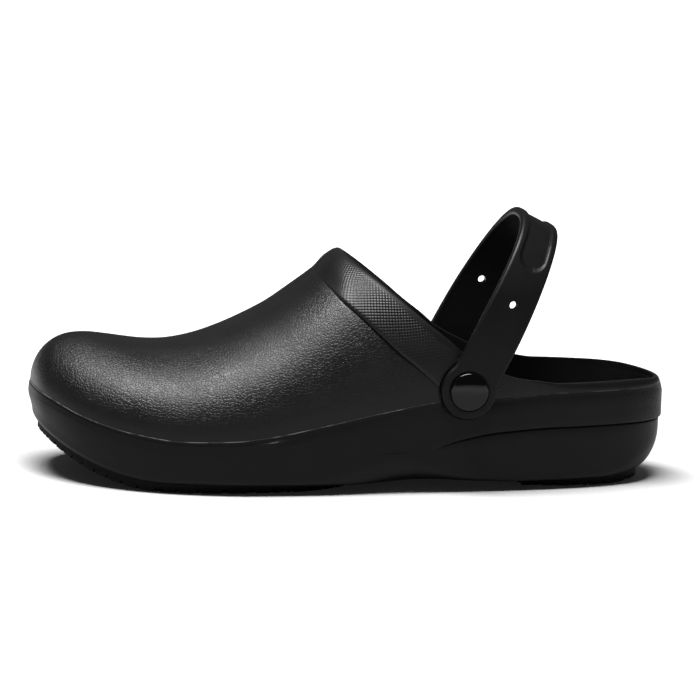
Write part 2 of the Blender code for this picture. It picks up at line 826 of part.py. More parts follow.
def strap_stations():
    """Place, outward direction, half width and distance from the nearer end for each station."""
    path = strap_path()
    lengths = [0.0]
    for a, b in zip(path, path[1:]):
        lengths.append(lengths[-1] + float(np.linalg.norm(b - a)))
    total = lengths[-1]
    found = []
    for angle in DISC_END_TURNS:
        back = DISC_RADIUS * math.cos(math.radians(angle))
        found.append((path[0] - (0, back), (-1.0, 0.0), DISC_RADIUS * math.sin(math.radians(angle)), -back))
    for i, place in enumerate(path[1:-1], start=1):
        along = path[i + 1] - path[i - 1]
        outward = np.array((-along[1], along[0])) / np.linalg.norm(along)
        run = min(lengths[i], total - lengths[i])
        if run < 0.3 * DISC_RADIUS:
            outward = np.array((-1.0 if i < len(path) / 2 else 1.0, 0.0))
        taper = ease((run - 0.8 * DISC_RADIUS) / STRAP_ROOT_LENGTH)
        half = (STRAP_ROOT_WIDTH + (STRAP_WIDTH - STRAP_ROOT_WIDTH) * taper) / 2
        if run < DISC_RADIUS:
            half = max(half, math.sqrt(DISC_RADIUS**2 - run**2))
        found.append((place, outward, half, run))
    for angle in reversed(DISC_END_TURNS):
        back = DISC_RADIUS * math.cos(math.radians(angle))
        found.append((path[-1] - (0, back), (1.0, 0.0), DISC_RADIUS * math.sin(math.radians(angle)), -back))
    return found, total


def panel_at(half, from_top):
    """Half width and depth of the strap's sunken panel, at a distance along the strap from its top."""
    past = max((from_top - PANEL_HALF_LENGTH) / PANEL_END + 1, 0.0)
    roundness = math.sqrt(max(1 - past**2, 0.04))
    depth = PANEL_DEPTH if from_top < PANEL_HALF_LENGTH else 0.0
    return max(half - PANEL_MARGIN, 0.3 * half) * roundness, depth


def make_strap(material):
    """Heel strap: a band with round ends, an adjusting hole in each leg and a sunken panel over its top."""
    reach_way, width_way = strap_frame()
    pivot = np.array((PIVOT_X, 0, PIVOT_Z))
    found, total = strap_stations()
    mesh = bmesh.new()
    rings = []
    for place, outward, half, run in found:
        round_off = min(STRAP_EDGE, 0.45 * half)
        thick = STRAP_THICKNESS / 2
        panel, depth = panel_at(half, total / 2 - run)
        slope = min(PANEL_SLOPE, 0.5 * panel)
        section = (
            (-half, thick - round_off),
            (-half + round_off, thick),
            (-panel - slope, thick),
            (-panel, thick - depth),
            (panel, thick - depth),
            (panel + slope, thick),
            (half - round_off, thick),
            (half, thick - round_off),
            (half, round_off - thick),
            (half - round_off, -thick),
            (-half + round_off, -thick),
            (-half, round_off - thick),
        )
        ring = []
        for across, out in section:
            y, reach = place + np.array(outward) * out
            ring.append(mesh.verts.new(pivot + reach_way * reach + width_way * across + np.array((0, y, 0))))
        rings.append(ring)
    for a, b in zip(rings, rings[1:]):
        for i in range(len(a)):
            j = (i + 1) % len(a)
            mesh.faces.new((a[i], a[j], b[j], b[i]))
    mesh.faces.new(rings[0])
    mesh.faces.new(rings[-1])
    strap = finish_mesh(mesh, "strap", material)
    for side in (OUTER, INNER):
        name = SIDE_NAMES[side]
        near = side * (seat(side) - MM)
        far = side * (seat(side) + STRAP_THICKNESS + 2 * MM)
        cut(strap, cross_cylinder(f"{name}_pivot_hole", PIVOT_X, PIVOT_Z, SHANK_RADIUS + GAP, near, far))
        x, _, z = pivot + reach_way * ADJUST_HOLE_REACH
        near = side * (seat(side) - 4 * STRAP_THICKNESS)
        cut(strap, cross_cylinder(f"{name}_adjusting_hole", x, z, ADJUST_HOLE_RADIUS, near, far))
    return strap


def make_rivet(name, side, material):
    """Domed cap outside, shank through strap and boss, and a flat head inside."""
    face = seat(side)
    inside = inner_wall(side) - BOSS_INSIDE - GAP
    under_cap = face + 2 * GAP + STRAP_THICKNESS
    profile = [(inside - HEAD_HEIGHT, 0.0), (inside - HEAD_HEIGHT, HEAD_RADIUS - 0.5 * MM)]
    profile += [(inside - HEAD_HEIGHT + 0.5 * MM, HEAD_RADIUS), (inside, HEAD_RADIUS), (inside, SHANK_RADIUS)]
    profile += [(under_cap, SHANK_RADIUS), (under_cap, CAP_RADIUS)]
    for share in (0.35, 0.7, 0.88, 0.97):
        profile.append((under_cap + CAP_HEIGHT * share, CAP_RADIUS * math.sqrt(1 - share**2.6)))
    profile.append((under_cap + CAP_HEIGHT, 0.0))
    mesh = bmesh.new()
    columns = []
    for i in range(ROUND_SIDES + 1):
        angle = 2 * math.pi * (i % ROUND_SIDES) / ROUND_SIDES
        column = []
        for out, radius in profile:
            x = PIVOT_X + radius * math.cos(angle)
            column.append(np.array((x, side * out, PIVOT_Z + radius * math.sin(angle))))
        columns.append(column)
    add_grid(mesh, columns)
    return finish_mesh(mesh, name, material)


def place_in_row_frame():
    """Moves everything so that the origin lies under the middle of the whole shoe."""
    graph = bpy.context.evaluated_depsgraph_get()
    bpy.context.view_layer.update()
    corners = []
    for thing in bpy.context.scene.objects:
        if not thing.hide_render:
            shape = thing.evaluated_get(graph).to_mesh()
            places = np.empty(len(shape.vertices) * 3)
            shape.vertices.foreach_get("co", places)
            corners.append(places.reshape(-1, 3))
    every = np.concatenate(corners)
    middle = (every.min(axis=0) + every.max(axis=0)) / 2
    for thing in bpy.context.scene.objects:
        thing.location.x -= middle[0]
        thing.location.y -= middle[1]


def main():
    for thing in list(bpy.data.objects):
        bpy.data.objects.remove(thing)
    foam = (0.012, 0.012, 0.013)
    rubber = (0.010, 0.010, 0.010)
    make_upper(make_material("upper_foam", foam, 0.55))
    make_sole(make_material("sole_foam", foam, 0.60))
    make_insole(make_material("insole_foam", (0.016, 0.016, 0.017), 0.85))
    heel_start = LENGTH - HEEL_PAD_FROM_HEEL - HEEL_PAD_LENGTH
    heel_middle = heel_start + HEEL_PAD_LENGTH / 2
    heel_width = edge(heel_middle, INNER)[1] - edge(heel_middle, OUTER)[1] - 2 * HEEL_PAD_MARGIN
    forefoot = (FOREFOOT_PAD, PAD_START, PAD_LENGTH, BALL_WIDTH - 2 * PAD_MARGIN, 0)
    heel = (HEEL_PAD, heel_start, HEEL_PAD_LENGTH, heel_width, HEEL_PAD_SLANT)
    treads = (("forefoot_tread", forefoot, FOREFOOT_TURN, BEND_ROWS), ("heel_tread", heel, HEEL_TURN, 0))
    for name, shape, turn, rows in treads:
        finish = make_material(f"{name}_rubber", rubber, 0.7)
        make_tread(name, pad_outline(*shape, grow=0), turn, finish, rows)
        inlay = prism(f"{name}_inlay", pad_outline(*shape, grow=GAP), -MM, SOLE_LIFT + PAD_INLAY, rows)
        for vertex in inlay.data.vertices:
            vertex.co.z += spring(vertex.co.x)
        cut(bpy.data.objects["sole"], inlay)
    make_strap(make_material("strap_foam", foam, 0.5))
    make_rivet("rivet_outer", OUTER, make_material("rivet_outer_plastic", (0.008, 0.008, 0.008), 0.2))
    make_rivet("rivet_inner", INNER, make_material("rivet_inner_plastic", (0.008, 0.008, 0.008), 0.2))
    place_in_row_frame()


main()
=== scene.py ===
"""Studio scene of a left chef clog: foam upper, cup sole, insole, rubber treads, heel strap and rivets."""

import logging
import math
from contextlib import contextmanager
from dataclasses import dataclass, field
from enum import Enum
from typing import Any, Callable, Iterator, Sequence

import bmesh
import bpy
import numpy as np
from mathutils import Matrix, Vector


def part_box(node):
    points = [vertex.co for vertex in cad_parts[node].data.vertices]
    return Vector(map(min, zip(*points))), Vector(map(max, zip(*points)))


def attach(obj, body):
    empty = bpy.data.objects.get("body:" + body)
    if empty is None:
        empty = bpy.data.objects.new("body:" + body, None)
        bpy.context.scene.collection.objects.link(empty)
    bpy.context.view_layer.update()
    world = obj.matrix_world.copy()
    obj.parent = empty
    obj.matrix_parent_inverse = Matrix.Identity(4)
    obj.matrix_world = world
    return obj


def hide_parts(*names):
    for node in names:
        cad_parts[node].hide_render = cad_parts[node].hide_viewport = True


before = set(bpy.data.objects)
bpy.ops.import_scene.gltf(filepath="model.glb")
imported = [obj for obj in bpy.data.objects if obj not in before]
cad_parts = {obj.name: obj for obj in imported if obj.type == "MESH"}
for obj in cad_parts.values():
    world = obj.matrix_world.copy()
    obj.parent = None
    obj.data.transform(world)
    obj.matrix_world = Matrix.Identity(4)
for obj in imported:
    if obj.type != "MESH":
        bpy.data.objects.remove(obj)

MM = 0.001
LOG = logging.getLogger("chef_clog")
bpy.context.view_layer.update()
WELD = 1e-6
HALVINGS = 40
Rows = Sequence[tuple[float, ...]]
Heights = Callable[[Any], np.ndarray]
Step = tuple[str, bpy.types.Object]


class Side(Enum):
    """The two sides of the foot, as the sign of Y."""

    OUTER = -1
    INNER = 1


class Quality(Enum):
    """How finely the last's surfaces are sampled: stations before and behind the collar's front, rows."""

    FINE = (84, 120, 36)
    MEDIUM = (60, 84, 18)


class Profile:
    """Smooth curve through short rows of (place, value) that never overshoots."""

    def __init__(self, rows: Rows, column: int = 1) -> None:
        """Keeps the rows' places, values and slopes.

        Args:
            rows: Rows of a table, the first column rising.
            column: The column that holds the value.
        """
        self.places = np.array([row[0] for row in rows], float)
        self.values = np.array([row[column] for row in rows], float)
        rises = np.diff(self.values) / np.diff(self.places)
        before, after = rises[:-1], rises[1:]
        total = np.where(before + after == 0, 1.0, before + after)
        inner = np.where(before * after <= 0, 0.0, 2 * before * after / total)
        self.slopes = np.concatenate(([rises[0]], inner, [rises[-1]]))

    def __call__(self, share: Any) -> np.ndarray:
        """Value at one share or many.

        Args:
            share: Place or array of places.

        Returns:
            The values there.
        """
        share = np.clip(share, self.places[0], self.places[-1])
        i = np.clip(np.searchsorted(self.places, share, side="right") - 1, 0, len(self.places) - 2)
        width = self.places[i + 1] - self.places[i]
        t = (share - self.places[i]) / width
        start = (1 + 2 * t) * (1 - t) ** 2 * self.values[i] + t * (1 - t) ** 2 * width * self.slopes[i]
        end = t * t * (3 - 2 * t) * self.values[i + 1] + t * t * (t - 1) * width * self.slopes[i + 1]
        return start + end


def by_turn(rows: Rows) -> list[tuple[float, ...]]:
    """The rows with each share as the angle of a half turn, so that the ends come out round."""
    return [(math.acos(1 - 2 * row[0]), *row[1:]) for row in rows]


def ease(t: Any) -> np.ndarray:
    """Smooth change from 0 to 1."""
    t = np.clip(t, 0.0, 1.0)
    return t * t * (3 - 2 * t)


def ramp(x: Any, ends: Sequence[float]) -> np.ndarray:
    """Smooth change from 0 at the first end to 1 at the second."""
    return ease((x - ends[0]) / (ends[1] - ends[0]))


def hump(x: Any, centre: float, length: float) -> np.ndarray:
    """1 at the centre and 0 from half the length away."""
    return np.cos(np.minimum(np.abs(x - centre) / (length / 2), 1.0) * math.pi / 2) ** 2


def stack(x: Any, y: Any, z: Any) -> np.ndarray:
    """Points from three arrays that broadcast together."""
    return np.stack(np.broadcast_arrays(x, y, z), axis=-1)


def unit(ways: np.ndarray) -> np.ndarray:
    """Directions made one long."""
    return ways / np.linalg.norm(ways, axis=-1, keepdims=True)


def travelled(line: np.ndarray) -> np.ndarray:
    """Distance along a line of points, at each of them."""
    return np.concatenate(([0.0], np.cumsum(np.linalg.norm(np.diff(line, axis=0), axis=1))))


@dataclass(frozen=True)
class Last:
    """The form of the foot and of the shoe round it, in metres from the toe, with -Y the outer side."""

    length: float = 290 * MM
    ball_width: float = 108.4 * MM
    instep_rise: float = 67 * MM
    heel_line: float = 44.4 * MM
    wall: float = 3.6 * MM
    gap: float = 0.3 * MM
    half_seam: float = 0.03 * MM
    toe_depth: float = 22 * MM
    heel_depth: float = 36 * MM
    fan: float = 85 * MM
    power: float = 2.3
    toe_power: float = 2.0
    toe_power_length: float = 60 * MM
    tuck: float = 0.8 * MM
    lift: float = 4 * MM
    toe_spring: tuple[float, float] = (21 * MM, 58 * MM)
    heel_spring: tuple[float, float] = (4 * MM, 30 * MM)
    heel_thickness: float = 18.5 * MM
    rim: tuple[float, float] = (2.0 * MM, 5.5 * MM)
    rim_start: float = 0.72
    rim_fade: float = 0.22
    pivot_from_heel: float = 98.9 * MM
    pivot_above_line: float = 4.7 * MM
    outline: Rows = (
        (0.000, 0.000, 0.000), (0.010, 0.189, 0.150), (0.030, 0.293, 0.234), (0.075, 0.422, 0.323),
        (0.140, 0.523, 0.375), (0.220, 0.586, 0.393), (0.300, 0.606, 0.393), (0.420, 0.577, 0.367),
        (0.550, 0.515, 0.323), (0.630, 0.481, 0.313), (0.730, 0.435, 0.327), (0.830, 0.369, 0.343),
        (0.900, 0.301, 0.322), (0.955, 0.223, 0.247), (0.988, 0.129, 0.138), (1.000, 0.000, 0.000),
    )
    line: Rows = (
        (0.000, 0.885), (0.030, 0.804), (0.078, 0.685), (0.150, 0.577), (0.224, 0.529), (0.299, 0.545),
        (0.349, 0.583), (0.457, 0.725), (0.547, 0.845), (0.616, 0.921), (0.709, 0.948), (0.810, 0.995),
        (1.000, 1.000),
    )
    ridge_rows: Rows = (
        (0.050, 0.401), (0.076, 0.454), (0.106, 0.487), (0.137, 0.498), (0.168, 0.500), (0.199, 0.511),
        (0.230, 0.533), (0.261, 0.567), (0.322, 0.665), (0.366, 0.743), (0.399, 0.820), (0.426, 0.885),
        (0.448, 0.939), (0.478, 1.001), (0.535, 1.040), (0.603, 1.045), (1.000, 1.025),
    )
    topline_rows: Rows = (
        (0.478, 1.010), (0.516, 0.861), (0.561, 0.675), (0.600, 0.507), (0.629, 0.403), (0.648, 0.330),
        (0.712, 0.175), (0.740, 0.123), (0.778, 0.082), (0.814, 0.056), (0.938, 0.054), (1.000, 0.032),
    )
    crease_rows: Rows = (
        (0.433, 0.916), (0.446, 0.848), (0.460, 0.771), (0.487, 0.655), (0.524, 0.482), (0.549, 0.367),
        (0.572, 0.272), (0.601, 0.147), (0.620, 0.077), (0.655, 0.032), (0.724, 0.027), (0.814, 0.021),
        (1.000, 0.012),
    )
    bed_rows: Rows = (
        (0.00, 0.33), (0.10, 0.36), (0.25, 0.46), (0.45, 0.60), (0.65, 0.86), (0.80, 1.00), (1.00, 0.92),
    )

    def sole_line(self, x: Any) -> np.ndarray:
        """Height of the line between sole and upper."""
        return self.heel_line * Profile(self.line)(x / self.length)

    def ridge(self, x: Any) -> np.ndarray:
        """Height of the upper's ridge."""
        return self.sole_line(x) + self.instep_rise * Profile(self.ridge_rows)(x / self.length)

    def topline(self, x: Any) -> np.ndarray:
        """Height of the opening's top edge."""
        return self.sole_line(x) + self.instep_rise * Profile(self.topline_rows)(x / self.length)

    def crease(self, x: Any) -> np.ndarray:
        """Height of the crease under the collar band."""
        return self.sole_line(x) + self.instep_rise * Profile(self.crease_rows)(x / self.length)

    def spring(self, x: Any) -> np.ndarray:
        """Rise of the underside from its plane."""
        toe = np.maximum(1 - x / self.toe_spring[1], 0)
        heel = np.maximum(1 - (self.length - x) / self.heel_spring[1], 0)
        return self.toe_spring[0] * toe**2 + self.heel_spring[0] * heel**2

    def underside(self, x: Any) -> np.ndarray:
        """Height of the foam's underside."""
        return self.lift + self.spring(x)

    def bed(self, x: Any) -> np.ndarray:
        """Height of the foam that the insole lies on."""
        return self.underside(x) + self.heel_thickness * Profile(self.bed_rows)(x / self.length)

    def edge(self, x: Any, side: Side, inset: Any = 0.0) -> tuple[np.ndarray, np.ndarray]:
        """Plan point of the sole's widest line, moved inwards.

        Args:
            x: Station, from the toe.
            side: Outer or inner side.
            inset: Distance inwards.

        Returns:
            The point's x and y.
        """
        small = 1e-4
        turn = np.arccos(1 - 2 * np.clip(x / self.length, 0, 1))
        profile = Profile(by_turn(self.outline), 1 if side is Side.OUTER else 2)
        low, high = np.maximum(turn - small, 0), np.minimum(turn + small, math.pi)
        along = self.length * (np.cos(low) - np.cos(high)) / 2
        out = self.ball_width * (profile(high) - profile(low))
        size = np.hypot(along, out)
        along, out = along / size, out / size
        along = np.where((turn < small) | (turn > math.pi - small), 0.0, along)
        out = np.where(turn < small, 1.0, np.where(turn > math.pi - small, -1.0, out))
        width = self.ball_width * profile(turn)
        return x + inset * out, side.value * (width - inset * along)

    def spine(self, x: Any) -> np.ndarray:
        """Where the rows of a station meet on the long axis."""
        toe = self.toe_depth * np.maximum(1 - x / self.fan, 0) ** 2
        heel = self.heel_depth * np.maximum(1 - (self.length - x) / self.fan, 0) ** 2
        return x + toe - heel

    def inward(self, x: Any, side: Side, inset: Any, share: float, height: Heights) -> np.ndarray:
        """Points between an inset edge and the spine.

        Args:
            x: Stations, from the toe.
            side: Outer or inner side.
            inset: The edge's distance from the widest line.
            share: 0 at the edge, 1 on the spine.
            height: Height at a place along the shoe.

        Returns:
            The points.
        """
        edge_x, edge_y = self.edge(x, side, inset)
        plan_x = edge_x + (self.spine(x) - edge_x) * share
        return stack(plan_x, edge_y * (1 - share), height(plan_x))

    def wall_point(self, x: Any, turn: Any, side: Side) -> np.ndarray:
        """Point of the upper's outer surface.

        Args:
            x: Station, from the toe.
            turn: 0 at the sole line, 1 on the ridge.
            side: Outer or inner side.

        Returns:
            The points.
        """
        power = 2 / (self.toe_power + (self.power - self.toe_power) * ease(x / self.toe_power_length))
        level = np.where(turn < 1, np.maximum(np.cos(turn * math.pi / 2), 0) ** power, 0.0)
        rise = np.sin(turn * math.pi / 2) ** power
        start_x, start_y = self.edge(x, side, self.tuck)
        top = self.spine(x)
        low = self.sole_line(x)
        return stack(top + (start_x - top) * level, start_y * level, low + (self.ridge(top) - low) * rise)

    def wall_normal(self, x: Any, turn: Any, side: Side) -> np.ndarray:
        """Outward direction of the upper's outer surface.

        Args:
            x: Station, from the toe.
            turn: 0 at the sole line, 1 on the ridge.
            side: Outer or inner side.

        Returns:
            The directions.
        """
        small = 1e-3
        x, turn = np.broadcast_arrays(np.asarray(x, float), np.asarray(turn, float))
        before, after = np.maximum(x - small, 0), np.minimum(x + small, self.length)
        low, high = np.maximum(turn - small, 0), np.minimum(turn + small, 1)
        along = self.wall_point(after, turn, side) - self.wall_point(before, turn, side)
        along[x <= small] = (0.0, side.value, 0.0)
        along[x >= self.length - small] = (0.0, -side.value, 0.0)
        up = self.wall_point(x, high, side) - self.wall_point(x, low, side)
        normal = np.cross(along, up) * -side.value
        normal[..., 1] = np.where(turn >= 1, 0.0, normal[..., 1])
        return unit(normal)

    def turn_at(self, x: np.ndarray, side: Side, height: Heights) -> np.ndarray:
        """Turn at which each station's wall reaches a height, found by halving.

        Args:
            x: Stations, from the toe.
            side: Outer or inner side.
            height: Height at a place along the shoe.

        Returns:
            The turns.
        """
        low, high = np.zeros_like(x), np.ones_like(x)
        for _ in range(HALVINGS):
            middle = (low + high) / 2
            point = self.wall_point(x, middle, side)
            below = point[..., 2] < height(point[..., 0])
            low, high = np.where(below, middle, low), np.where(below, high, middle)
        return high

    def rim_round(self, x: Any, z: Any) -> np.ndarray:
        """How far the outer face turns in at a height, under the heel rim's rounded top."""
        back = ease((x - self.rim_start * self.length) / (self.rim_fade * self.length))
        share = np.clip(1 - (self.topline(x) - z) / self.rim[1], 0, 1)
        return back * self.rim[0] * (1 - np.sqrt(1 - share**2))

    @property
    def collar(self) -> float:
        """Station whose ridge point carries the front of the collar band."""
        return self.crease_rows[0][0] * self.length

    @property
    def pivot(self) -> tuple[float, float]:
        """The strap's pivot as x and z."""
        x = self.length - self.pivot_from_heel
        return x, float(self.sole_line(x)) + self.pivot_above_line

    def ring(self, quality: Quality) -> tuple[np.ndarray, np.ndarray]:
        """Stations before and behind the collar's front, closer together where the form turns.

        Args:
            quality: How many there are.

        Returns:
            The stations before it and behind it.
        """
        before, behind, _ = quality.value
        rest = self.length - self.collar
        front = self.collar * (1 - np.cos(math.pi / 2 * np.arange(before) / before))
        rear = self.collar + rest * (1 - np.cos(math.pi * np.arange(behind + 1) / behind)) / 2
        return front, rear


LAST = Last()


class Skin:
    """Gathers grids of points and turns them into one closed mesh in the row frame."""

    def __init__(self) -> None:
        """Starts empty."""
        self.points: list[np.ndarray] = []
        self.faces: list[np.ndarray] = []
        self.marks: dict[str, list[np.ndarray]] = {"grain": [], "flash_and_highlight": [], "cloth": []}
        self.count = 0

    def add(
        self, grid: np.ndarray, grain: Any = 0.0, cloth: Any = (0.0, 0.0, 0.0), flash_and_highlight: Any = 0.0,
        closed: bool = False,
    ) -> None:
        """Adds a grid of points with its finish marks.

        Args:
            grid: Array of columns by rows by 3.
            grain: Leather grain from 0 to 1 for each point.
            cloth: Place along and across the band, and how much weave shows there.
            flash_and_highlight: 1 on the moulding line, which is painted lighter there for its real excess
                foam and as a painted highlight.
            closed: Whether the last column meets the first.
        """
        columns, rows, _ = grid.shape
        number = np.arange(columns * rows).reshape(columns, rows) + self.count
        left, right = (number, np.roll(number, -1, axis=0)) if closed else (number[:-1], number[1:])
        quads = (left[:, :-1], right[:, :-1], right[:, 1:], left[:, 1:])
        self.faces.append(np.stack(quads, axis=-1).reshape(-1, 4))
        self.points.append(grid.reshape(-1, 3))
        self.marks["grain"].append(np.broadcast_to(grain, (columns, rows)).reshape(-1))
        self.marks["flash_and_highlight"].append(np.broadcast_to(flash_and_highlight, (columns, rows)).reshape(-1))
        self.marks["cloth"].append(np.broadcast_to(cloth, (columns, rows, 3)).reshape(-1, 3))
        self.count += columns * rows

    def made(self, name: str, sharp: float = 40) -> bpy.types.Object:
        """Welds the grids into a smooth-shaded object.

        Args:
            name: The object's name.
            sharp: Angle in degrees above which an edge stays sharp.

        Returns:
            The object, at the origin, its place in its mesh.
        """
        data = bpy.data.meshes.new(name)
        data.from_pydata(in_row_frame(np.concatenate(self.points)), [], np.concatenate(self.faces).tolist())
        for mark in ("grain", "flash_and_highlight"):
            layer = data.attributes.new(mark, "FLOAT", "POINT")
            layer.data.foreach_set("value", np.concatenate(self.marks[mark]).astype(np.float32))
        cloth = data.attributes.new("cloth", "FLOAT_VECTOR", "POINT")
        cloth.data.foreach_set("vector", np.concatenate(self.marks["cloth"]).astype(np.float32).ravel())
        welded(data)
        return placed(data, name, sharp)


AXIS_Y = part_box("sole")[0].y + float(LAST.ball_width * max(row[1] for row in LAST.outline))
TOE_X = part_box("sole")[0].x


def in_row_frame(points: np.ndarray) -> np.ndarray:
    """Moves points from the last's own frame to the row frame."""
    return np.asarray(points, float) + (TOE_X, AXIS_Y, 0.0)


@contextmanager
def edited(data: bpy.types.Mesh) -> Iterator[bmesh.types.BMesh]:
    """Opens a mesh for editing and writes it back.

    Args:
        data: The mesh.

    Yields:
        The mesh, open for editing.
    """
    mesh = bmesh.new()
    mesh.from_mesh(data)
    yield mesh
    mesh.to_mesh(data)
    mesh.free()


def welded(data: bpy.types.Mesh) -> None:
    """Merges what meets and turns all faces outwards.

    Args:
        data: The mesh.
    """
    with edited(data) as mesh:
        bmesh.ops.remove_doubles(mesh, verts=mesh.verts, dist=WELD)
        bmesh.ops.dissolve_degenerate(mesh, edges=mesh.edges, dist=WELD)
        bmesh.ops.recalc_face_normals(mesh, faces=mesh.faces)


def carried(data: bpy.types.Mesh, change: Callable[[np.ndarray], np.ndarray]) -> None:
    """Moves a mesh's points.

    Args:
        data: The mesh.
        change: Gives the new points for the old ones.
    """
    points = np.empty(len(data.vertices) * 3)
    data.vertices.foreach_get("co", points)
    data.vertices.foreach_set("co", change(points.reshape(-1, 3)).ravel())


def smoothed(data: bpy.types.Mesh, sharp: float) -> None:
    """Shades a mesh smooth up to an angle in degrees."""
    data.shade_smooth()
    data.set_sharp_from_angle(angle=math.radians(sharp))


def placed(data: bpy.types.Mesh, name: str, sharp: float = 40) -> bpy.types.Object:
    """Puts a mesh in the scene.

    Args:
        data: The mesh.
        name: The object's name.
        sharp: Angle in degrees above which an edge stays sharp.

    Returns:
        The object.
    """
    smoothed(data, sharp)
    thing = bpy.data.objects.new(name, data)
    bpy.context.scene.collection.objects.link(thing)
    return thing


def bored(
    place: Sequence[float], radius: float, side: Side, near: float, far: float, sides: int = 96,
    kind: str = "DIFFERENCE",
) -> Step:
    """Boolean step with a closed cylinder along Y.

    Args:
        place: The axis's x and z.
        radius: Radius.
        side: The side of the shoe that it is on.
        near: One end's distance from the long axis.
        far: The other end's distance from it.
        sides: Number of sides.
        kind: The Boolean's operation.

    Returns:
        The operation and the cylinder.
    """
    turns = 2 * math.pi * np.arange(sides) / sides
    x, z = place[0] + radius * np.cos(turns), place[1] + radius * np.sin(turns)
    ends = [stack(x, side.value * out, z) for out in (near, far)]
    data = bpy.data.meshes.new("drum")
    faces = [(i, (i + 1) % sides, (i + 1) % sides + sides, i + sides) for i in range(sides)]
    faces += [tuple(range(sides)), tuple(range(sides, 2 * sides))]
    data.from_pydata(in_row_frame(np.concatenate(ends)), [], faces)
    welded(data)
    return kind, placed(data, "drum")


def carved(thing: bpy.types.Object, steps: Sequence[Step], sharp: float = 40) -> None:
    """Applies Booleans one after the other and removes their helpers.

    Args:
        thing: The object to change.
        steps: Pairs of operation and helper.
        sharp: Angle in degrees above which an edge stays sharp.
    """
    for operation, helper in steps:
        step = thing.modifiers.new(operation, "BOOLEAN")
        step.operation, step.object, step.solver = operation, helper, "EXACT"
    applied(thing, sharp)
    for _, helper in steps:
        bpy.data.objects.remove(helper)


def applied(thing: bpy.types.Object, sharp: float) -> None:
    """Turns the evaluated object into a plain mesh without modifiers.

    Args:
        thing: The object to change.
        sharp: Angle in degrees above which an edge stays sharp.
    """
    graph = bpy.context.evaluated_depsgraph_get()
    data = bpy.data.meshes.new_from_object(thing.evaluated_get(graph))
    thing.modifiers.clear()
    thing.data = data
    smoothed(data, sharp)


def grey(level: float, blue: float = 1.0) -> tuple[float, float, float, float]:
    """A grey, its blue part changed by a factor."""
    return level, level, level * blue, 1.0


class Value:
    """A shader value: arithmetic on it adds Math nodes."""

    def __init__(self, recipe: "Recipe", socket: Any) -> None:
        """Wraps a socket of a recipe."""
        self.recipe, self.socket = recipe, socket

    def math(self, operation: str, *others: Any) -> "Value":
        """One Math node with this value first."""
        values = {0: self} | dict(enumerate(others, 1))
        return self.recipe.add("ShaderNodeMath", {"operation": operation}, values)

    def __add__(self, other: Any) -> "Value":
        """Sum."""
        return self.math("ADD", other)

    def __sub__(self, other: Any) -> "Value":
        """Difference."""
        return self.math("SUBTRACT", other)

    def __rsub__(self, other: Any) -> "Value":
        """Difference with the number first."""
        return self.recipe.add("ShaderNodeMath", {"operation": "SUBTRACT"}, {0: other, 1: self})

    def __mul__(self, other: Any) -> "Value":
        """Product."""
        return self.math("MULTIPLY", other)

    __radd__, __rmul__ = __add__, __mul__


class Recipe:
    """Builds one material's nodes."""

    def __init__(self, name: str) -> None:
        """Starts a material with a Principled BSDF.

        Args:
            name: The material's name.
        """
        self.material = bpy.data.materials.new(name)
        self.material.use_nodes = True
        self.tree = self.material.node_tree
        self.shader = self.tree.nodes["Principled BSDF"]

    def add(self, kind: str, settings: dict[str, Any], values: dict[Any, Any], output: Any = 0) -> Value:
        """Adds any node.

        Args:
            kind: The node's type.
            settings: Properties, set first.
            values: Numbers or links by socket.
            output: The output wanted.

        Returns:
            That output as a value.
        """
        node = self.tree.nodes.new(kind)
        for key, setting in settings.items():
            setattr(node, key, setting)
        for key, value in values.items():
            self.feed(node.inputs[key], value)
        return Value(self, node.outputs[output])

    def feed(self, socket: Any, value: Any) -> None:
        """Sets a socket to a number or links it.

        Args:
            socket: A node's input.
            value: A number, colour, vector or value.
        """
        if isinstance(value, Value):
            self.tree.links.new(value.socket, socket)
        else:
            socket.default_value = value

    def place(self) -> Value:
        """Object coordinates."""
        return self.add("ShaderNodeTexCoord", {}, {}, "Object")

    def mark(self, name: str, output: str = "Fac") -> Value:
        """A point attribute of the piece."""
        return self.add("ShaderNodeAttribute", {"attribute_name": name}, {}, output)

    def noise(self, scale: float, detail: float = 2.0, rough: float = 0.5) -> Value:
        """Noise in object space, its scale in cells per metre."""
        values = {"Vector": self.place(), "Scale": scale, "Detail": detail, "Roughness": rough}
        return self.add("ShaderNodeTexNoise", {}, values, "Fac")

    def ranged(
        self, value: Value, low: float, high: float, to_low: float, to_high: float, kind: str = "SMOOTHSTEP",
    ) -> Value:
        """The value carried from one range to another, held at the ends."""
        values = {"Value": value, "From Min": low, "From Max": high, "To Min": to_low, "To Max": to_high}
        return self.add("ShaderNodeMapRange", {"interpolation_type": kind}, values)

    def blend(self, factor: Value, low: Any, high: Any) -> Value:
        """Colour that goes from one to another with a factor."""
        return self.add("ShaderNodeMix", {"data_type": "RGBA"}, {"Factor": factor, 6: low, 7: high}, 2)

    def bump(self, height: Value, distance: float, strength: float = 1.0, under: Any = None) -> Value:
        """Bump from a height.

        Args:
            height: The height, in units of the distance.
            distance: The distance in metres.
            strength: How much of it shows.
            under: The normal that it lies on, if any.

        Returns:
            The normal.
        """
        values = {"Height": height, "Distance": distance, "Strength": strength}
        if under is not None:
            values["Normal"] = under
        return self.add("ShaderNodeBump", {}, values, "Normal")

    def shade(self, **values: Any) -> bpy.types.Material:
        """Sets the shader's sockets.

        Args:
            **values: Numbers or links by socket, with underscores for spaces.

        Returns:
            The material.
        """
        for key, value in values.items():
            self.feed(self.shader.inputs[key.replace("_", " ")], value)
        return self.material


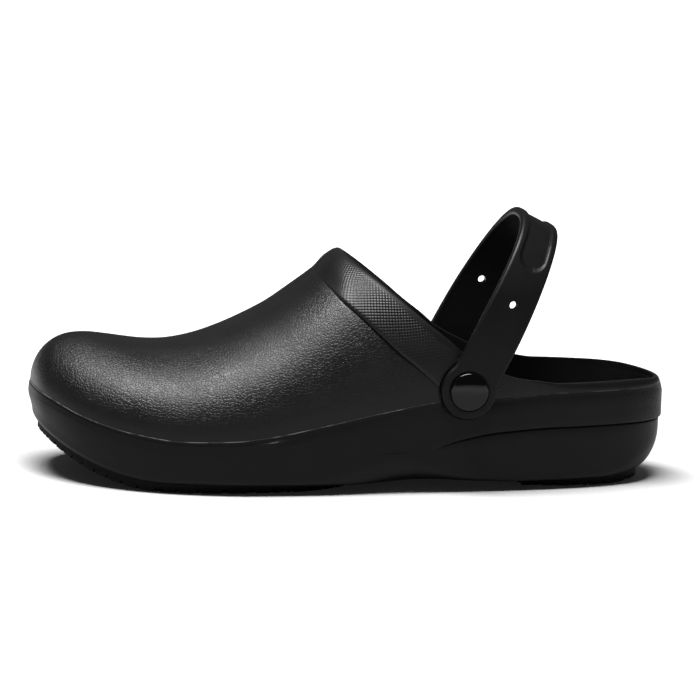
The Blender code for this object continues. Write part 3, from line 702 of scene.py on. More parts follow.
@dataclass(frozen=True)
class FoamFinish:
    """Black moulded foam, with a faint skin and, where the piece is marked so, leather grain and weave."""

    name: str
    colour: float = 0.0018
    cool: float = 1.08
    # Grey of the moulding line's lip: partly its real excess foam, partly a painted highlight where its
    # bevel catches the light.
    flash_and_highlight: float = 0.085
    roughness: float = 0.41
    specular: float = 0.19
    pore: float = 0.05 * MM
    pore_cell: float = 0.35 * MM
    grain_cell: float = 1.4 * MM
    grain_depth: float = 0.075 * MM
    weave_pitch: float = 1.3 * MM
    weave_depth: float = 0.10 * MM

    def leather(self, recipe: Recipe) -> Value:
        """Height of the leather grain: pulled cells with cracks between them, and finer pebbles on top.

        Args:
            recipe: The material's recipe.

        Returns:
            The height, from 0 to about 1.2.
        """
        cell, place = self.grain_cell, recipe.place()
        warp = {"Vector": place, "Scale": 0.35 / cell, "Detail": 2.0}
        pull = {0: recipe.add("ShaderNodeTexNoise", {}, warp, "Color"), 1: (1.4 * cell,) * 3, 2: place}
        pulled = recipe.add("ShaderNodeVectorMath", {"operation": "MULTIPLY_ADD"}, pull)
        cells = {"Vector": pulled, "Scale": 1 / cell}
        crack = recipe.add("ShaderNodeTexVoronoi", {"feature": "DISTANCE_TO_EDGE"}, cells, "Distance")
        return recipe.ranged(crack, 0.0, 0.22, 0.0, 1.0) + recipe.noise(2.2 / cell, 3.0, 0.6) * 0.25

    def weave(self, recipe: Recipe) -> Value:
        """Height of the collar band's weave, from two waves that cross.

        Args:
            recipe: The material's recipe.

        Returns:
            The height, from -1 to 1.
        """
        cloth = recipe.mark("cloth", "Vector")
        along, across, shown = (recipe.add("ShaderNodeSeparateXYZ", {}, {0: cloth}, i) for i in range(3))
        turn = math.sqrt(2) * math.pi / self.weave_pitch
        waves = ((along + across) * turn).math("SINE") + ((along - across) * turn).math("SINE")
        return waves * 0.5 * shown

    def made(self) -> bpy.types.Material:
        """Builds the material.

        Returns:
            The material.
        """
        recipe = Recipe(self.name)
        grain = recipe.mark("grain")
        skin = recipe.bump(recipe.noise(1 / self.pore_cell, 3.0, 0.6), self.pore)
        grained = recipe.bump(self.leather(recipe) * grain, self.grain_depth, 1.0, skin)
        woven = recipe.bump(self.weave(recipe), self.weave_depth, 1.0, grained)
        tone = recipe.ranged(recipe.noise(30.0, 3.0), 0.3, 0.7, 0.8, 1.25, "LINEAR") * 0.5
        black = recipe.blend(tone, grey(self.colour * 0.8, self.cool), grey(self.colour * 1.3, self.cool))
        # Painted highlight: the moulding line is blended towards a lighter grey, broken up by noise; this
        # stands partly for real excess foam and partly for light on the lip's bevel.
        broken = recipe.ranged(recipe.noise(160.0, 2.0), 0.42, 0.6, 0.15, 1.0)
        colour = recipe.blend(recipe.mark("flash_and_highlight") * broken, black, grey(self.flash_and_highlight))
        cloudy = recipe.ranged(recipe.noise(55.0, 2.0), 0.3, 0.7, -0.03, 0.03)
        worn = recipe.ranged(recipe.noise(900.0, 4.0, 0.7), 0.66, 0.8, 0.0, 0.12)
        rough = cloudy + worn + self.roughness + grain * 0.02
        return recipe.shade(
            Base_Color=colour, Roughness=rough, Specular_IOR_Level=self.specular, Normal=woven,
        )


@dataclass(frozen=True)
class RubberFinish:
    """Dull black rubber of the treads."""

    name: str = "tread_rubber"
    colour: float = 0.0022
    roughness: float = 0.62
    specular: float = 0.08

    def made(self) -> bpy.types.Material:
        """Builds the material.

        Returns:
            The material.
        """
        recipe = Recipe(self.name)
        skin = recipe.bump(recipe.noise(2600.0, 3.0, 0.6), 0.06 * MM)
        dust = recipe.ranged(recipe.noise(140.0, 4.0, 0.65), 0.5, 0.75, 0.0, 0.5)
        tone = recipe.blend(dust, grey(self.colour), grey(self.colour * 2.2))
        rough = dust * 0.2 + self.roughness
        return recipe.shade(Base_Color=tone, Roughness=rough, Specular_IOR_Level=self.specular, Normal=skin)


@dataclass(frozen=True)
class InsoleFinish:
    """Soft matte foam with fine pores."""

    name: str = "insole_foam"
    colour: float = 0.004
    roughness: float = 0.8
    specular: float = 0.25

    def made(self) -> bpy.types.Material:
        """Builds the material.

        Returns:
            The material.
        """
        recipe = Recipe(self.name)
        cells = {"Vector": recipe.place(), "Scale": 900.0}
        pores = recipe.add("ShaderNodeTexVoronoi", {"feature": "F1"}, cells, "Distance")
        skin = recipe.bump(pores + recipe.noise(420.0, 3.0) * 0.6, 0.2 * MM)
        rough = recipe.ranged(recipe.noise(60.0), 0.3, 0.7, self.roughness - 0.05, self.roughness + 0.08)
        tone = recipe.blend(recipe.noise(45.0), grey(self.colour), grey(self.colour * 1.5))
        return recipe.shade(Base_Color=tone, Roughness=rough, Specular_IOR_Level=self.specular, Normal=skin)


@dataclass(frozen=True)
class RivetFinish:
    """Glossy black plastic with a faint waviness and hairline scratches."""

    name: str = "rivet_plastic"
    colour: float = 0.0009
    roughness: float = 0.08
    specular: float = 0.2

    def made(self) -> bpy.types.Material:
        """Builds the material.

        Returns:
            The material.
        """
        recipe = Recipe(self.name)
        wave = recipe.bump(recipe.noise(120.0, 1.0), 0.05 * MM, 0.6)
        scratch = recipe.ranged(recipe.noise(1500.0, 4.0, 0.8), 0.62, 0.8, 0.0, 0.25)
        tone = recipe.blend(scratch, grey(self.colour), grey(self.colour * 3))
        rough = scratch + self.roughness
        return recipe.shade(Base_Color=tone, Roughness=rough, Specular_IOR_Level=self.specular, Normal=wave)


def dressed(
    thing: bpy.types.Object, material: bpy.types.Material, slot: str, *nodes: str,
) -> bpy.types.Object:
    """Gives a piece its material and body, and hides the CAD nodes that it stands for.

    Args:
        thing: The finished piece.
        material: Its finish.
        slot: The record's material slot; not used.
        *nodes: The CAD nodes that it replaces.

    Returns:
        The piece.
    """
    thing.data.materials.clear()
    thing.data.materials.append(material)
    for polygon in thing.data.polygons:
        polygon.material_index = 0
    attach(thing, "root")
    if nodes:
        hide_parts(*nodes)
    LOG.info("%s: %d faces", thing.name, len(thing.data.polygons))
    return thing


@dataclass
class Strap:
    """Heel strap with a disc at each end, adjusting holes and a sunken panel over its top."""

    lean: float = math.radians(64)
    reach: float = 79 * MM
    power: float = 2.5
    width: float = 18.2 * MM
    root_width: float = 20.8 * MM
    root_length: float = 58 * MM
    thickness: float = 4 * MM
    edge: float = 1.1 * MM
    disc: float = 12.4 * MM
    seat_margin: float = 1 * MM
    bore: float = 3.3 * MM
    seat_reach: float = 15 * MM
    leg_start: float = 1.9
    blend_rate: float = 1.6
    blend_sink: float = 0.12 * MM
    crown: float = 0.25 * MM
    tip: float = 3 * MM
    hole: float = 2.4 * MM
    hole_bore: float = 1.75 * MM
    sink_depth: float = 0.5 * MM
    hole_reach: float = 42.5 * MM
    panel_margin: float = 2.9 * MM
    panel_depth: float = 0.95 * MM
    panel_half: float = 42.5 * MM
    panel_slope: float = 0.8 * MM
    well: float = 9.15 * MM
    well_depth: float = 0.8 * MM
    band_step: float = 1.6 * MM
    fade_past_pivot: float = 17 * MM
    stations: int = 220
    finish: FoamFinish = field(
        default_factory=lambda: FoamFinish("strap_foam", roughness=0.42, specular=0.12)
    )

    def band_fade(self, x: Any) -> np.ndarray:
        """1 on the collar band and 0 behind the pivot."""
        return 1 - ease((x - LAST.collar) / (LAST.pivot[0] + self.fade_past_pivot - LAST.collar))

    def seat(self, side: Side) -> float:
        """Distance from the long axis of the flat that the disc turns on.

        Args:
            side: Outer or inner side.

        Returns:
            The distance, clear of the wall round the disc and beside the leg.
        """
        pivot_x, pivot_z = LAST.pivot
        widest = 0.0
        for reach in (0.9, 1.2, 1.5):
            for across in (-0.8, 0.0, 0.8):
                x = pivot_x + self.disc * (reach * math.cos(self.lean) + across * math.sin(self.lean))
                z = pivot_z + self.disc * (reach * math.sin(self.lean) - across * math.cos(self.lean))
                place = np.array([x])
                turn = LAST.turn_at(place, side, lambda along: np.minimum(z, LAST.topline(along)))
                rim = abs(LAST.wall_point(place, turn, side)[0, 1]) + self.band_step * self.band_fade(x)
                widest = max(widest, float(rim))
        return widest

    def seat_cut(self, side: Side) -> Step:
        """Boolean step that cuts the flat that the disc turns on."""
        face = self.seat(side)
        return bored(LAST.pivot, self.disc + self.seat_margin, side, face, face + self.seat_reach, 128)

    def path(self) -> tuple[np.ndarray, np.ndarray, np.ndarray]:
        """The middle line over the heel.

        Returns:
            The points as (y, reach), the line's directions, and the distance along it.
        """
        outer = -(self.seat(Side.OUTER) + LAST.gap + self.thickness / 2)
        inner = self.seat(Side.INNER) + LAST.gap + self.thickness / 2
        angle = np.linspace(0, math.pi, 2001)
        y = -np.sign(np.cos(angle)) * np.abs(np.cos(angle)) ** (2 / self.power)
        reach = self.reach * np.maximum(np.sin(angle), 0) ** (2 / self.power)
        line = np.stack(((outer + inner) / 2 + (inner - outer) / 2 * y, reach), axis=-1)
        return line, np.gradient(line, axis=0), travelled(line)

    def section(self, half: float, from_top: float) -> np.ndarray:
        """Ring of (across, out) at one station, with the panel sunk into its outer face.

        Args:
            half: Half the strap's width there.
            from_top: Distance along the strap from its top.

        Returns:
            The ring's points.
        """
        thick = self.thickness / 2
        round_off = min(self.edge, 0.45 * half)
        corner = np.radians(np.linspace(0, 90, 6))
        flat = half - round_off
        across = np.linspace(-flat, flat, 41)
        panel_half = half - self.panel_margin
        bulge = np.maximum(np.abs(from_top) - (self.panel_half - panel_half), 0)
        inside = panel_half - np.hypot(across, bulge)
        sunk = self.panel_depth * ease(inside / self.panel_slope) if panel_half > 0 else 0 * across
        crown = self.crown * (1 - (across / max(half, MM)) ** 2)
        top = np.stack((across, thick - sunk + crown), axis=-1)
        lower = thick - round_off + round_off * np.cos(corner)
        right = np.stack((flat + round_off * np.sin(corner), lower), -1)
        low_right = np.stack((right[::-1, 0], -right[::-1, 1]), -1)
        bottom = np.stack((np.linspace(flat, -flat, 13), np.full(13, -thick)), -1)
        low_left = np.stack((-right[:, 0], -right[:, 1]), -1)
        left = np.stack((-right[::-1, 0], right[::-1, 1]), -1)
        return np.concatenate((top, right[1:], low_right[1:], bottom[1:], low_left[1:], left[1:-1]))

    def half_widths(self, nearest: np.ndarray) -> np.ndarray:
        """Half the strap's width, with the disc's round end running softly into the leg.

        Args:
            nearest: Distances along the strap from the nearer pivot.

        Returns:
            Half widths.
        """
        taper = ease((nearest - self.leg_start * self.disc) / self.root_length)
        half = (self.root_width + (self.width - self.root_width) * taper) / 2
        round_half = np.sqrt(np.maximum(self.disc**2 - nearest**2, 0))
        rate = self.blend_rate
        blend = np.log(np.exp(half / MM * rate) + np.exp(round_half / MM * rate)) / rate * MM
        blend = blend - self.blend_sink * (nearest / self.disc)
        half = np.where(nearest < self.disc, np.maximum(round_half, blend), half)
        return np.where(nearest < 0.2 * self.disc, round_half, half)

    def rings(self) -> list[tuple[Any, Any, float, float]]:
        """Every station from one disc's end to the other's.

        Returns:
            For each: place as (y, reach), outward direction, half width, and distance from the top.
        """
        line, way, run = self.path()
        total = run[-1]
        wanted = np.linspace(0, total, self.stations)
        place, along = (
            np.stack([np.interp(wanted, run, rows[:, i]) for i in (0, 1)], -1) for rows in (line, way)
        )
        outward = unit(np.stack((-along[:, 1], along[:, 0]), -1))
        nearest = np.minimum(wanted, total - wanted)
        straight = ease(nearest / (0.8 * self.disc))[:, None]
        flat_way = np.stack((np.where(wanted < total / 2, -1.0, 1.0), np.zeros(len(wanted))), -1)
        outward = unit(outward * straight + flat_way * (1 - straight))
        middle = list(zip(place, outward, self.half_widths(nearest), total / 2 - nearest))
        backs = self.disc * np.cos(np.radians(np.linspace(3, 88, 40)))
        widths = np.sqrt(self.disc**2 - backs**2)
        first, last = (
            [(place[end] - (0, back), (out, 0.0), wide, total / 2) for back, wide in zip(backs, widths)]
            for end, out in ((0, -1.0), (-1, 1.0))
        )
        return first + middle + last[::-1]

    def holes(self, reach_way: np.ndarray) -> list[Step]:
        """Boolean steps for the rivets' bores, the wells round their caps and the adjusting holes.

        Args:
            reach_way: Direction of the strap's legs.

        Returns:
            The steps.
        """
        steps = []
        hole = np.array(LAST.pivot) + reach_way[[0, 2]] * self.hole_reach
        for side in Side:
            face = self.seat(side) + LAST.gap
            top = face + self.thickness
            clear = top + 2 * MM
            steps += [
                bored(LAST.pivot, self.bore, side, face - MM, top + MM),
                bored(LAST.pivot, self.well, side, top - self.well_depth, clear, 128),
                bored(hole, self.hole_bore, side, face - 4 * self.thickness, clear, 48),
                bored(hole, self.hole, side, top - self.sink_depth, clear, 48),
            ]
        return steps

    def build(self) -> bpy.types.Object:
        """Makes the strap and cuts its holes and wells.

        Returns:
            The dressed strap.
        """
        pivot = np.array((LAST.pivot[0], 0.0, LAST.pivot[1]))
        reach_way = np.array((math.cos(self.lean), 0, math.sin(self.lean)))
        width_way = np.array((math.sin(self.lean), 0, -math.cos(self.lean)))
        grid = []
        for where, out_way, wide, from_top in self.rings():
            ring = self.section(wide, from_top)
            if wide < self.tip:
                ring[:, 1] *= ease(0.35 + wide / (4 * MM))
            y, reach = (np.asarray(where) + ring[:, 1:] * np.asarray(out_way)).T[:, :, None]
            grid.append(pivot + reach * reach_way + ring[:, :1] * width_way + y * (0, 1, 0))
        skin = Skin()
        skin.add(np.swapaxes(np.array(grid), 0, 1), closed=True)
        strap = skin.made("heel_strap", 50)
        with edited(strap.data) as mesh:
            bmesh.ops.holes_fill(mesh, edges=[edge for edge in mesh.edges if edge.is_boundary])
            bmesh.ops.recalc_face_normals(mesh, faces=mesh.faces)
        carved(strap, self.holes(reach_way), 38)
        return dressed(strap, self.finish.made(), "strap_foam", "strap")


@dataclass
class Rivet:
    """One rivet: domed cap outside, shank, and a flat head inside."""

    side: Side
    strap: Strap
    shank: float = 3 * MM
    cap: float = 8.4 * MM
    cap_height: float = 2.4 * MM
    head: float = 6.5 * MM
    head_height: float = 1.6 * MM
    boss_inside: float = 1 * MM
    soft: float = 0.5 * MM
    rim: float = 0.7 * MM
    rim_foot: float = 0.9 * MM
    steps: int = 96

    def inner_wall(self) -> float:
        """Distance from the long axis of the upper's inner surface at the pivot.

        Returns:
            The distance.
        """
        x, z = LAST.pivot
        turn = LAST.turn_at(np.array([x]), self.side, lambda along: z + 0 * along)
        return abs(LAST.wall_point(np.array([x]), turn, self.side)[0, 1]) - LAST.wall

    def profile(self) -> np.ndarray:
        """Half section as (distance from the long axis, radius).

        Returns:
            The rows, from the middle of the inner head to the middle of the cap.
        """
        inside = self.inner_wall() - self.boss_inside - LAST.gap
        under = self.strap.seat(self.side) + 2 * LAST.gap + self.strap.thickness
        turn = np.radians(np.linspace(0, 90, 7))
        head_edge = [(inside - self.head_height + self.soft * (1 - math.sin(a)),
                      self.head - self.soft * (1 - math.cos(a))) for a in turn[::-1]]
        rim_edge = [(under + self.rim_foot + self.rim * math.sin(a),
                     self.cap - self.rim * (1 - math.cos(a))) for a in turn]
        flat = self.cap - self.rim
        rise = self.cap_height - self.rim_foot - self.rim
        dome = [(rim_edge[-1][0] + rise * (1 - s**2.2), flat * s) for s in np.linspace(0.96, 0, 18)]
        head = [(inside - self.head_height, 0.0), *head_edge, (inside, self.head), (inside, self.shank)]
        cap = [(under, self.shank), (under, self.cap - 0.15 * MM), (under + 0.2 * MM, self.cap)]
        return np.array(head + cap + rim_edge + dome)

    def build(self, material: bpy.types.Material) -> bpy.types.Object:
        """Turns the profile round the pivot's axis.

        Args:
            material: The rivets' finish.

        Returns:
            The dressed rivet.
        """
        rows = self.profile()
        angle = 2 * math.pi * np.arange(self.steps) / self.steps
        out, radius = rows[:, 0], rows[:, 1]
        x = LAST.pivot[0] + radius * np.cos(angle)[:, None]
        z = LAST.pivot[1] + radius * np.sin(angle)[:, None]
        skin = Skin()
        skin.add(stack(x, self.side.value * out, z), closed=True)
        name = f"rivet_{self.side.name.lower()}"
        return dressed(skin.made(f"{name}_turned", 35), material, "rivet_plastic", name)


@dataclass
class Upper:
    """Hollow shell above the sole line: grained vamp, woven collar band and heel rim."""

    strap: Strap
    band_depth: float = 13 * MM
    boss: float = 7.5 * MM
    slip: tuple[float, float] = (0.06 * MM, 0.35 * MM)
    grain_low: tuple[float, float] = (1.5 * MM, 10.5 * MM)
    grain_back: tuple[float, float] = (176 * MM, 160 * MM)
    grain_top: tuple[float, float] = (0.55, 0.95)
    grain_loss: float = 0.62
    weave_up: tuple[float, float] = (57 * MM, 66 * MM)
    weave_front: tuple[float, float] = (133 * MM, 141 * MM)
    weave_behind: tuple[float, float] = (190 * MM, 198 * MM)
    weave_end: tuple[float, float] = (246 * MM, 226 * MM)
    weave_faint: float = 0.6
    weave_foot: tuple[float, float] = (0.03, 0.08)
    weave_head: tuple[float, float] = (0.88, 0.78)
    finish: FoamFinish = field(default_factory=lambda: FoamFinish("upper_foam"))
    band_rows: Rows = (
        (0.000, -0.30), (0.012, -0.10), (0.020, 0.35), (0.035, 0.75), (0.065, 0.97), (0.110, 1.04),
        (0.200, 1.06), (0.350, 1.06), (0.500, 1.04), (0.650, 1.00), (0.780, 0.94), (0.880, 0.84),
        (0.940, 0.66), (0.980, 0.36),
    )

    def grain(self, point: np.ndarray, turn: np.ndarray) -> np.ndarray:
        """How much leather grain shows: most in the middle of the side, less on the ridge and low down.

        Args:
            point: Points of the outer surface.
            turn: Their turns.

        Returns:
            Marks up to 1.
        """
        x, z = point[..., 0], point[..., 2]
        low = ramp(z - LAST.sole_line(x), self.grain_low)
        top = 1 - self.grain_loss * ramp(turn, self.grain_top)
        return low * ramp(x, self.grain_back) * top

    def weave(self, point: np.ndarray, rows: np.ndarray) -> np.ndarray:
        """Place along and across the band, and how much weave shows, for each of its points.

        Args:
            point: Columns of the band's points.
            rows: Each row's share of the way up the band.

        Returns:
            The marks.
        """
        chord = point[:, len(self.band_rows) - 1] - point[:, 0]
        middle = (point[:, len(self.band_rows) - 1] + point[:, 0]) / 2
        run = travelled(middle)
        way = unit(np.gradient(middle, axis=0))
        slant = np.sum(chord * way, axis=1)
        height = np.sqrt(np.maximum(np.sum(chord * chord, axis=1) - slant**2, 0))
        along = run[:, None] + slant[:, None] * (rows - 0.5)
        across = height[:, None] * rows
        x, z = point[..., 0], point[..., 2]
        front = ramp(z, self.weave_up) * ramp(x, self.weave_front)
        behind = self.weave_faint * ramp(x, self.weave_behind) * ramp(x, self.weave_end)
        inside = ramp(rows, self.weave_foot) * ramp(rows, self.weave_head)
        return stack(along, across, np.maximum(front, behind) * inside)

    def build(self) -> bpy.types.Object:
        """Makes the shell, joins the bosses and cuts the seats and rivet holes.

        Returns:
            The dressed upper.
        """
        skin = Skin()
        front, rear = LAST.ring(Quality.FINE)
        rows = Quality.FINE.value[2]
        bands = {}
        for side in Side:
            x = np.concatenate((front, rear))
            top = np.where(x <= LAST.collar, 1.0, LAST.turn_at(x, side, LAST.crease))
            turn = top[:, None] * np.linspace(0, 1, rows + 1)
            outside = LAST.wall_point(x[:, None], turn, side)
            normal = LAST.wall_normal(x[:, None], turn, side)
            inside = outside - LAST.wall * normal
            slip = self.slip[0] * np.exp(-(outside[..., 2] - outside[:, :1, 2]) / self.slip[1])
            slip = slip + LAST.rim_round(outside[..., 0], outside[..., 2])
            outside = outside - slip[..., None] * normal
            outside[:, 0, 2] += LAST.half_seam
            inside[:, 0, 2] = outside[:, 0, 2]
            skin.add(outside, grain=self.grain(outside, turn))
            skin.add(inside)
            skin.add(np.stack((outside[:, 0], inside[:, 0]), axis=1))
            bands[side] = self.band(rear, side)
        outer, inner = bands[Side.OUTER], bands[Side.INNER]
        over = outer.shape[1] - len(self.band_rows)
        shares = np.array([row[0] for row in self.band_rows] + [1.0] * over)
        for band in (outer, inner):
            marks = self.weave(band, shares)
            marks[:, len(self.band_rows):, 2] = 0
            skin.add(band, cloth=marks)
        upper = skin.made("vamp_and_collar", 42)
        carved(upper, self.fittings(), 42)
        return dressed(upper, self.finish.made(), "upper_foam", "upper")

    def band(self, rear: np.ndarray, side: Side) -> np.ndarray:
        """Columns of the collar band and heel rim, over its edge and down its inner face.

        Args:
            rear: Stations behind the collar's front.
            side: Outer or inner side.

        Returns:
            Columns of points.
        """
        foot = np.where(rear <= LAST.collar, 1.0, LAST.turn_at(rear, side, LAST.crease))
        fade = self.strap.band_fade(rear)
        head_x = rear + self.band_depth * fade
        head = np.where(rear <= LAST.collar, 1.0, LAST.turn_at(head_x, side, LAST.topline))
        step = self.strap.band_step * fade
        near_ridge = 1 - ease((rear - LAST.collar) / (16 * MM))
        points = []

        def at(share: float, out: np.ndarray) -> np.ndarray:
            """Point a share of the way up the band, standing out by a distance.

            Args:
                share: The share.
                out: The distance, for each station.

            Returns:
                The points.
            """
            x = rear + (head_x - rear) * share
            turn = foot + (head - foot) * share
            point = LAST.wall_point(x, turn, side)
            inwards = LAST.rim_round(x, point[:, 2]) * (out > -LAST.wall / 2)
            return point + LAST.wall_normal(x, turn, side) * (out - inwards)[:, None]

        for share, out in self.band_rows:
            first = share == 0.0
            gentle = step * float(ease(share / 0.55)) * (1.0 if share < 0.8 else out)
            rise = step * out + (gentle - step * out) * near_ridge
            points.append(at(share, 0 * step if first else rise))
        middle, half = (step * 0.36 - LAST.wall) / 2, (step * 0.36 + LAST.wall) / 2
        for angle in np.radians((60, 30, 0, -30, -60)):
            points.append(at(1.0 - 0.018 * (1 - math.cos(angle)), middle + half * math.sin(angle)))
        for share in (0.98, 0.9, 0.75, 0.5, 0.25, 0.1, 0.0):
            points.append(at(share, 0 * step - LAST.wall))
        return np.stack(points, axis=1)

    def fittings(self) -> list[Step]:
        """Boolean steps for both bosses, seats and rivet holes.

        Returns:
            The steps.
        """
        steps = []
        for side in Side:
            inner = Rivet(side, self.strap).inner_wall() - MM
            over = self.strap.seat(side) + MM
            steps.append(bored(LAST.pivot, self.boss, side, inner, over, kind="UNION"))
            steps.append(self.strap.seat_cut(side))
            steps.append(bored(LAST.pivot, self.strap.bore, side, inner - MM, over))
        return steps


@dataclass
class Sole:
    """Cup sole with arch, toe spring, rounded lower edge and the step along its side."""

    strap: Strap
    corner: tuple[float, float] = (3.5 * MM, 2.6 * MM)
    heel_corner: tuple[float, float, float] = (12 * MM, 16 * MM, 34 * MM)
    arch: tuple[float, float, float] = (178 * MM, 80 * MM, 12 * MM)
    arch_rise: tuple[float, float, float] = (160 * MM, 80 * MM, 9.4 * MM)
    step: tuple[float, float, float] = (172 * MM, 30 * MM, 1.1 * MM)
    cup_round: float = 4.5 * MM
    lip: int = 29
    ring: tuple[float, float, float] = (148 * MM, 4 * MM, 6 * MM)
    inlay: float = 1.5 * MM
    boss_room: float = 7.8 * MM
    toe_lean: tuple[float, float] = (2.0 * MM, 80 * MM)
    toe_tuck: float = 90 * MM
    # Stations over which the lip's lighter paint, real excess foam and painted highlight, fades towards the
    # heel.
    flash_and_highlight_fade: tuple[float, float] = (150 * MM, 190 * MM)
    heel_grain: tuple[float, float] = (256 * MM, 272 * MM)
    heel_grain_rise: float = 3 * MM
    finish: FoamFinish = field(
        default_factory=lambda: FoamFinish("sole_foam", roughness=0.46, specular=0.12)
    )
    side_step: Rows = (
        (0.000, 0.760), (0.050, 0.660), (0.100, 0.530), (0.200, 0.380), (0.350, 0.370), (0.500, 0.430),
        (0.600, 0.450), (0.650, 0.536), (0.715, 0.610), (0.812, 0.646), (1.000, 0.649),
    )

    # The step's rows: share of its depth, then mm further in and mm above its mark.
    step_rows: Rows = (
        (1, 0.0, -1.3), (1, 0.1, -0.8), (1, 0.55, -0.45), (1, 0.55, -0.15), (0, 0.35, 0.05),
        (0, 0.08, 0.3), (0, 0.0, 0.8),
    )
    # The lip's rows: share of the tuck, then mm under the top.
    lip_rows: Rows = ((0.88, 0.45), (0.86, 0.275), (0.88, 0.1))

    def corner_at(self, x: np.ndarray) -> tuple[np.ndarray, np.ndarray]:
        """Width and height of the rounded lower edge.

        Args:
            x: Stations, from the toe.

        Returns:
            The width and the height.
        """
        back = np.maximum(1 - (LAST.length - x) / self.heel_corner[2], 0) ** 1.5
        width = self.corner[0] + self.arch[2] * hump(x, *self.arch[:2])
        height = self.corner[1] + self.arch_rise[2] * hump(x, *self.arch_rise[:2])
        width = width + (self.heel_corner[0] - self.corner[0]) * back
        return width, height + (self.heel_corner[1] - self.corner[1]) * back

    def cup(self, x: np.ndarray) -> list[tuple[np.ndarray, np.ndarray]]:
        """Inset and height of the cup's inner wall, from its side down to the footbed.

        Args:
            x: Stations, from the toe.

        Returns:
            Pairs of inset and height.
        """
        base, floor = LAST.tuck + LAST.wall, LAST.bed(x)
        height = np.minimum(self.cup_round, 0.8 * (LAST.sole_line(x) - floor))
        angles = np.radians(np.linspace(0, 90, 7))
        return [(base + 0.15 * self.cup_round + self.cup_round * 0.95 * (1 - math.cos(a)),
                 floor + height * (1 - math.sin(a))) for a in angles]

    def column(self, x: np.ndarray, side: Side) -> np.ndarray:
        """The section at every station, from underneath round the side and in to the footbed.

        Args:
            x: Stations, from the toe.
            side: Outer or inner side.

        Returns:
            Columns of points.
        """
        width, height = self.corner_at(x)
        low, top = LAST.underside(x) + height, LAST.sole_line(x) - LAST.half_seam
        mark = LAST.heel_line * Profile(self.side_step)(x / LAST.length)
        fade = ease((x - self.step[0]) / self.step[1])
        deep = self.step[2] * fade
        lean = self.toe_lean[0] * (1 - ease(x / self.toe_lean[1]))
        points = [LAST.inward(x, side, width, share, LAST.underside) for share in (1.0, 0.66, 0.33, 0.12)]
        for angle in np.radians(np.linspace(0, 90, 10)):
            plan = LAST.edge(x, side, width - (width - deep - lean) * math.sin(angle))
            points.append(stack(*plan, LAST.underside(plan[0]) + height * (1 - math.cos(angle))))
        rows = [(deep, low + (mark - low) * share) for share in (0.25, 0.5, 0.75)]
        rows += [(deep * share + fade * out * MM, mark + up * MM) for share, out, up in self.step_rows]
        toe = 1 - ease(x / self.toe_tuck)
        for share in (0.25, 0.5, 0.75):
            tuck = LAST.tuck * (0.2 * share + (0.7 * share**1.6 - 0.2 * share) * toe)
            rows.append((tuck, mark + (top - mark) * share))
        rows.append(((0.6 + 0.1 * toe) * LAST.tuck, top - 2.2 * MM))
        rows += [(share * LAST.tuck, top - down * MM) for share, down in self.lip_rows]
        rows += [(0.95 * LAST.tuck + 0.125 * MM, top), (LAST.tuck + LAST.wall, top), *self.cup(x)]
        for inset, z in rows:
            under = lean * np.clip((mark + MM - z) / (mark + MM - low), 0, 1) ** 1.7
            points.append(stack(*LAST.edge(x, side, inset + under + LAST.rim_round(x, z)), z))
        foot = self.cup(x)[-1][0]
        points += [LAST.inward(x, side, foot, share, LAST.bed) for share in (0.2, 0.5, 0.8, 1.0)]
        return np.stack(points, axis=1)

    def build(self, treads: Sequence["Tread"]) -> bpy.types.Object:
        """Makes the sole and cuts the seats, the room for the bosses and the treads' inlays.

        Args:
            treads: The pads that it takes.

        Returns:
            The dressed sole.
        """
        skin = Skin()
        x = np.concatenate(LAST.ring(Quality.FINE))
        for side in Side:
            column = self.column(x, side)
            flash_and_highlight = np.zeros(column.shape[:2])
            # The lip at the moulding line is marked to be painted lighter, for its excess foam and as a
            # painted highlight, less so towards the heel.
            flash_and_highlight[:, self.lip:self.lip + 2] = (1 - 0.7 * ramp(x, self.flash_and_highlight_fade))[:, None]
            along, above = column[..., 0], column[..., 2] - LAST.heel_line * self.side_step[-1][1]
            rough = ramp(along, self.heel_grain) * ease(above / self.heel_grain_rise)
            skin.add(column, grain=0.9 * rough, flash_and_highlight=flash_and_highlight)
        sole = skin.made("cup_sole", 42)
        steps = []
        for side in Side:
            inner = Rivet(side, self.strap).inner_wall() - 5 * MM
            over = self.strap.seat(side) + self.strap.seat_reach
            steps.append(bored(LAST.pivot, self.boss_room, side, inner, over))
            steps.append(self.strap.seat_cut(side))
        steps += [("DIFFERENCE", tread.prism(LAST.gap, -MM, LAST.lift + self.inlay)) for tread in treads]
        steps.append(("UNION", self.bare_ring()))
        carved(sole, steps, 42)
        return dressed(sole, self.finish.made(), "sole_foam", "sole")

    def bare_ring(self) -> bpy.types.Object:
        """Small raised ring under the waist, with nothing in it.

        Returns:
            The ring, ready for joining.
        """
        x, y, radius = self.ring
        section = (
            (-0.4, 0.5), (-0.4, -0.25), (-0.2, -0.4), (0.2, -0.4), (0.4, -0.25), (0.4, 0.5), (-0.4, 0.5),
        )
        out, up = (np.array(section) * MM).T
        angle = 2 * math.pi * np.arange(72)[:, None] / 72
        away = radius + out
        skin = Skin()
        skin.add(stack(x + away * np.cos(angle), y + away * np.sin(angle), LAST.lift + up), closed=True)
        return skin.made("bare_ring", 30)


